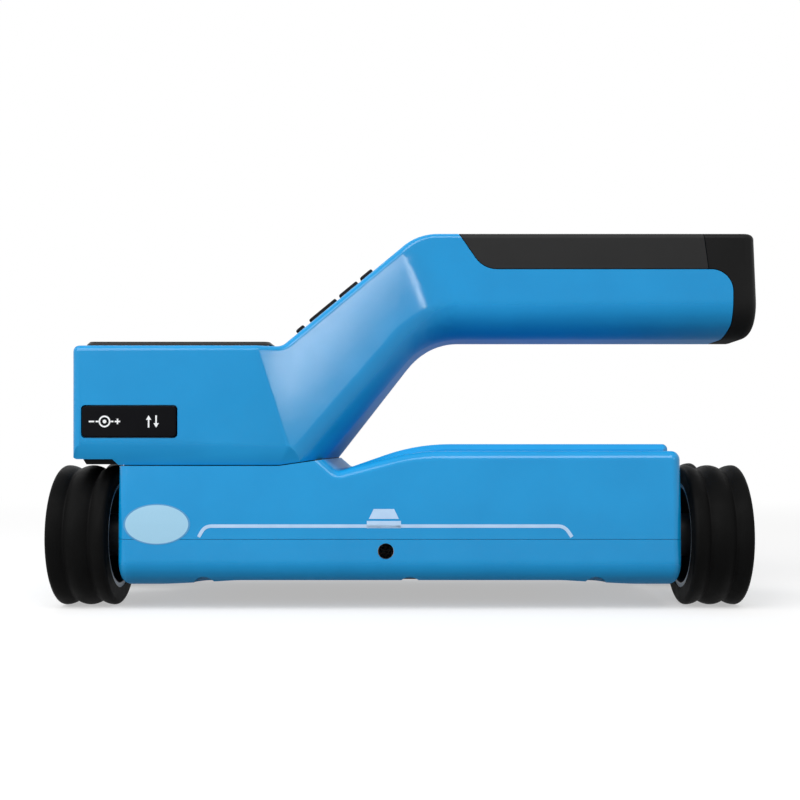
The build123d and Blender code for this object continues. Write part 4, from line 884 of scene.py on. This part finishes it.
list_sign = []
for line in (0.7, 0, -0.7):
    list_sign += stroke([(-1.6, line), (1.6, line)], thin)
back_sign = stroke([(1.2, -0.7), (1.2, 0.3), (-0.8, 0.3)], thin)
back_sign += filled([(-0.8, 1.0), (-1.7, 0.3), (-0.8, -0.4)])
store_sign = stroke([(-1.9, -0.6), (-1.9, -1.5), (1.9, -1.5), (1.9, -0.6)], thin)
store_sign += stroke([(0, 1.7), (0, 0.4)], thin)
store_sign += filled([(0, -0.8), (0.9, 0.4), (-0.9, 0.4)])
lamp_sign = stroke(ring((0, 0), 0.8, steps=24), thin, closed=True)
for inner, outer in zip(ring((0, 0), 1.2, steps=8), ring((0, 0), 1.7, steps=8)):
    lamp_sign += stroke([inner, outer], thin)
power_sign = stroke(ring((0, 0), 1.4, start=120, sweep=300), thin)
power_sign += stroke([(0, 0.3), (0, 1.7)], thin)
key_signs = {
    "key_menu": list_sign,
    "key_back": back_sign,
    "key_left": filled([(1.4, 2.0), (-1.8, 0), (1.4, -2.0)]),
    "key_ok": stroke(ring((0, 0), 2.2), 2 * thin, closed=True),
    "key_right": filled([(-1.4, -2.0), (1.8, 0), (-1.4, 2.0)]),
    "key_store": store_sign,
    "key_light": lamp_sign,
    "key_power": power_sign,
}
for key, sign in key_signs.items():
    lay(f"{key}_sign", sign, (key,), middle_of(key), key_right, key_up, "key_ink", f"{key}_button")

# %% [markdown]
# ## Screws
# A steel screw holds each wheel on its shaft and six more close the base from below. They are all one shape
# in different sizes: a head with a bevelled rim, a cross recess and a plain shank. That is a job for a node
# tree with the sizes as inputs, placed on points, so a change of one size changes every screw.

# %% Helpers for turned solids
round_sides = 40


def raised(tree, geometry, height):
    """A geometry moved along the screw."""
    lift = tree.nodes.new("ShaderNodeCombineXYZ")
    tree.links.new(height, lift.inputs["Z"])
    move = tree.nodes.new("GeometryNodeTransform")
    tree.links.new(geometry, move.inputs["Geometry"])
    tree.links.new(lift.outputs["Vector"], move.inputs["Translation"])
    return move.outputs["Geometry"]


def turned_form(tree, top, bottom, height):
    """A cone or a cylinder, standing on its lower face."""
    cone = tree.nodes.new("GeometryNodeMeshCone")
    cone.inputs["Vertices"].default_value = round_sides
    tree.links.new(top, cone.inputs["Radius Top"])
    tree.links.new(bottom, cone.inputs["Radius Bottom"])
    tree.links.new(height, cone.inputs["Depth"])
    return cone.outputs["Mesh"]


def combined(tree, operation, solids):
    """Solids joined, or the later ones cut from the first."""
    result = tree.nodes.new("GeometryNodeMeshBoolean")
    result.operation = operation
    result.solver = "EXACT"
    if operation == "DIFFERENCE":
        tree.links.new(solids[0], result.inputs["Mesh 1"])
        solids = solids[1:]
    for solid in solids:
        tree.links.new(solid, result.inputs["Mesh 2"])
    return result.outputs["Mesh"]


print("round forms with", round_sides, "sides")

# %% One screw
# These are shares of the head's height and radius.
drum_share = 0.6
crest_share = 0.8
blade_long = 1.1
blade_thick = 0.26
blade_tall = 1.2
blade_middle = 1.05


def screw_form(tree, sizes):
    """A drum with a bevelled rim on a shank, and two crossed blades cut from it."""

    def share(size, factor):
        """A part of one of the screw's sizes."""
        return arithmetic(tree, "MULTIPLY", sizes[size], factor)

    radius = sizes["Head Radius"]
    drum = turned_form(tree, radius, radius, share("Head Height", drum_share))
    rim = turned_form(tree, share("Head Radius", crest_share), radius, share("Head Height", 1 - drum_share))
    rim = raised(tree, rim, share("Head Height", drum_share))
    shank_radius = sizes["Shank Radius"]
    shank = turned_form(tree, shank_radius, shank_radius, sizes["Shank Length"])
    shank = raised(tree, shank, share("Shank Length", -1.0))
    blades = []
    for long_side, short_side in (("X", "Y"), ("Y", "X")):
        size = tree.nodes.new("ShaderNodeCombineXYZ")
        tree.links.new(share("Head Radius", blade_long), size.inputs[long_side])
        tree.links.new(share("Head Radius", blade_thick), size.inputs[short_side])
        tree.links.new(share("Head Height", blade_tall), size.inputs["Z"])
        blade = tree.nodes.new("GeometryNodeMeshCube")
        tree.links.new(size.outputs["Vector"], blade.inputs["Size"])
        blades.append(raised(tree, blade.outputs["Mesh"], share("Head Height", blade_middle)))
    return combined(tree, "DIFFERENCE", [combined(tree, "UNION", [drum, rim, shank]), *blades])


print("recess reaches", blade_long / 2, "of the head's radius")

# %% Screw tree
turn_seed = 7


def screw_turn(tree, axis):
    """A head towards the axis, stopped at an angle of its own."""
    spin = tree.nodes.new("FunctionNodeRandomValue")
    spin.data_type = "FLOAT"
    spin.inputs["Max"].default_value = math.pi / 2
    spin.inputs["Seed"].default_value = turn_seed
    own_turn = tree.nodes.new("ShaderNodeCombineXYZ")
    angle = next(s for s in spin.outputs if s.type == "VALUE" and s.enabled)
    tree.links.new(angle, own_turn.inputs["Z"])
    upright = tree.nodes.new("FunctionNodeAlignRotationToVector")
    upright.axis = "Z"
    tree.links.new(axis, upright.inputs["Vector"])
    both = tree.nodes.new("FunctionNodeRotateRotation")
    both.rotation_space = "LOCAL"
    tree.links.new(upright.outputs["Rotation"], both.inputs["Rotation"])
    tree.links.new(own_turn.outputs["Vector"], both.inputs["Rotate By"])
    return both.outputs["Rotation"]


def screw_tree():
    """Cross-recessed screws on points, with their heads towards an axis."""
    lengths = dict.fromkeys(("Head Radius", "Head Height", "Shank Radius", "Shank Length"), "Float")
    inputs = {**lengths, "Axis": "Vector", "Finish": "Material"}
    tree, start, end = mesh_tree("cross_screws", inputs)
    on_points = tree.nodes.new("GeometryNodeInstanceOnPoints")
    tree.links.new(start.outputs["Geometry"], on_points.inputs["Points"])
    tree.links.new(screw_form(tree, start.outputs), on_points.inputs["Instance"])
    tree.links.new(screw_turn(tree, start.outputs["Axis"]), on_points.inputs["Rotation"])
    real = tree.nodes.new("GeometryNodeRealizeInstances")
    tree.links.new(on_points.outputs["Instances"], real.inputs["Geometry"])
    dressed = tree.nodes.new("GeometryNodeSetMaterial")
    tree.links.new(real.outputs["Geometry"], dressed.inputs["Geometry"])
    tree.links.new(start.outputs["Finish"], dressed.inputs["Material"])
    tree.links.new(dressed.outputs["Geometry"], end.inputs["Geometry"])
    return tree


cross_screws = screw_tree()
screw_inputs = [item for item in cross_screws.interface.items_tree if item.in_out == "INPUT"]
screw_sockets = {item.name: item.identifier for item in screw_inputs}
print("screw tree with inputs", ", ".join(list(screw_sockets)[1:]))

# %% Wheel screws
def screws(name, places, axis, sizes, finish, body, stands_for):
    """One mesh of screws for a body, made by the screw tree and left as a plain mesh."""
    points = bpy.data.meshes.new(f"{name}_points")
    points.from_pydata([tuple(p) for p in places], [], [])
    maker = bpy.data.objects.new(f"{name}_maker", points)
    scene.collection.objects.link(maker)
    modifier = maker.modifiers.new("screws", "NODES")
    modifier.node_group = cross_screws
    for socket, value in {**sizes, "Axis": axis, "Finish": finishes[finish]}.items():
        modifier[screw_sockets[socket]] = value
    made = bpy.data.meshes.new_from_object(maker.evaluated_get(bpy.context.evaluated_depsgraph_get()))
    bpy.data.objects.remove(maker)
    made.name = name
    piece = bpy.data.objects.new(name, made)
    scene.collection.objects.link(piece)
    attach(piece, body)
    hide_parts(stands_for)
    print(name, "with", len(places), "screws and", len(made.polygons), "faces")


hub_sizes = {
    "Head Radius": 3.6 * mm,
    "Head Height": 2.2 * mm,
    "Shank Radius": 1.5 * mm,
    "Shank Length": 7.0 * mm,
}
for wheel, outwards in (("front_left", -1), ("front_right", 1), ("rear_left", -1), ("rear_right", 1)):
    stands_for = f"hub_screw_{wheel}"
    low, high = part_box(stands_for)
    seat = (low + high) / 2
    seat.x = (high.x if outwards > 0 else low.x) - outwards * hub_sizes["Head Height"]
    axis = (outwards, 0, 0)
    screws(f"wheel_screw_{wheel}", [seat], axis, hub_sizes, "steel", f"wheel_{wheel}", stands_for)

# %% Base screws
tray_sizes = {
    "Head Radius": 2.8 * mm,
    "Head Height": 1.8 * mm,
    "Shank Radius": 1.5 * mm,
    "Shank Length": 20.0 * mm,
}
seat_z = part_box("tray_screws")[0].z + tray_sizes["Head Height"]
same_head = 3 * tray_sizes["Head Radius"]
heads = []
for vert in nodes["tray_screws"].data.vertices:
    near = [head for head in heads if (head[0] - vert.co).xy.length < same_head]
    if near:
        near[0].append(vert.co.copy())
    else:
        heads.append([vert.co.copy()])
seats = []
for head in heads:
    middle = [(min(v[axis] for v in head) + max(v[axis] for v in head)) / 2 for axis in (0, 1)]
    seats.append((*middle, seat_z))
screws("base_screws", seats, (0, 0, -1), tray_sizes, "black_steel", "chassis", "tray_screws")
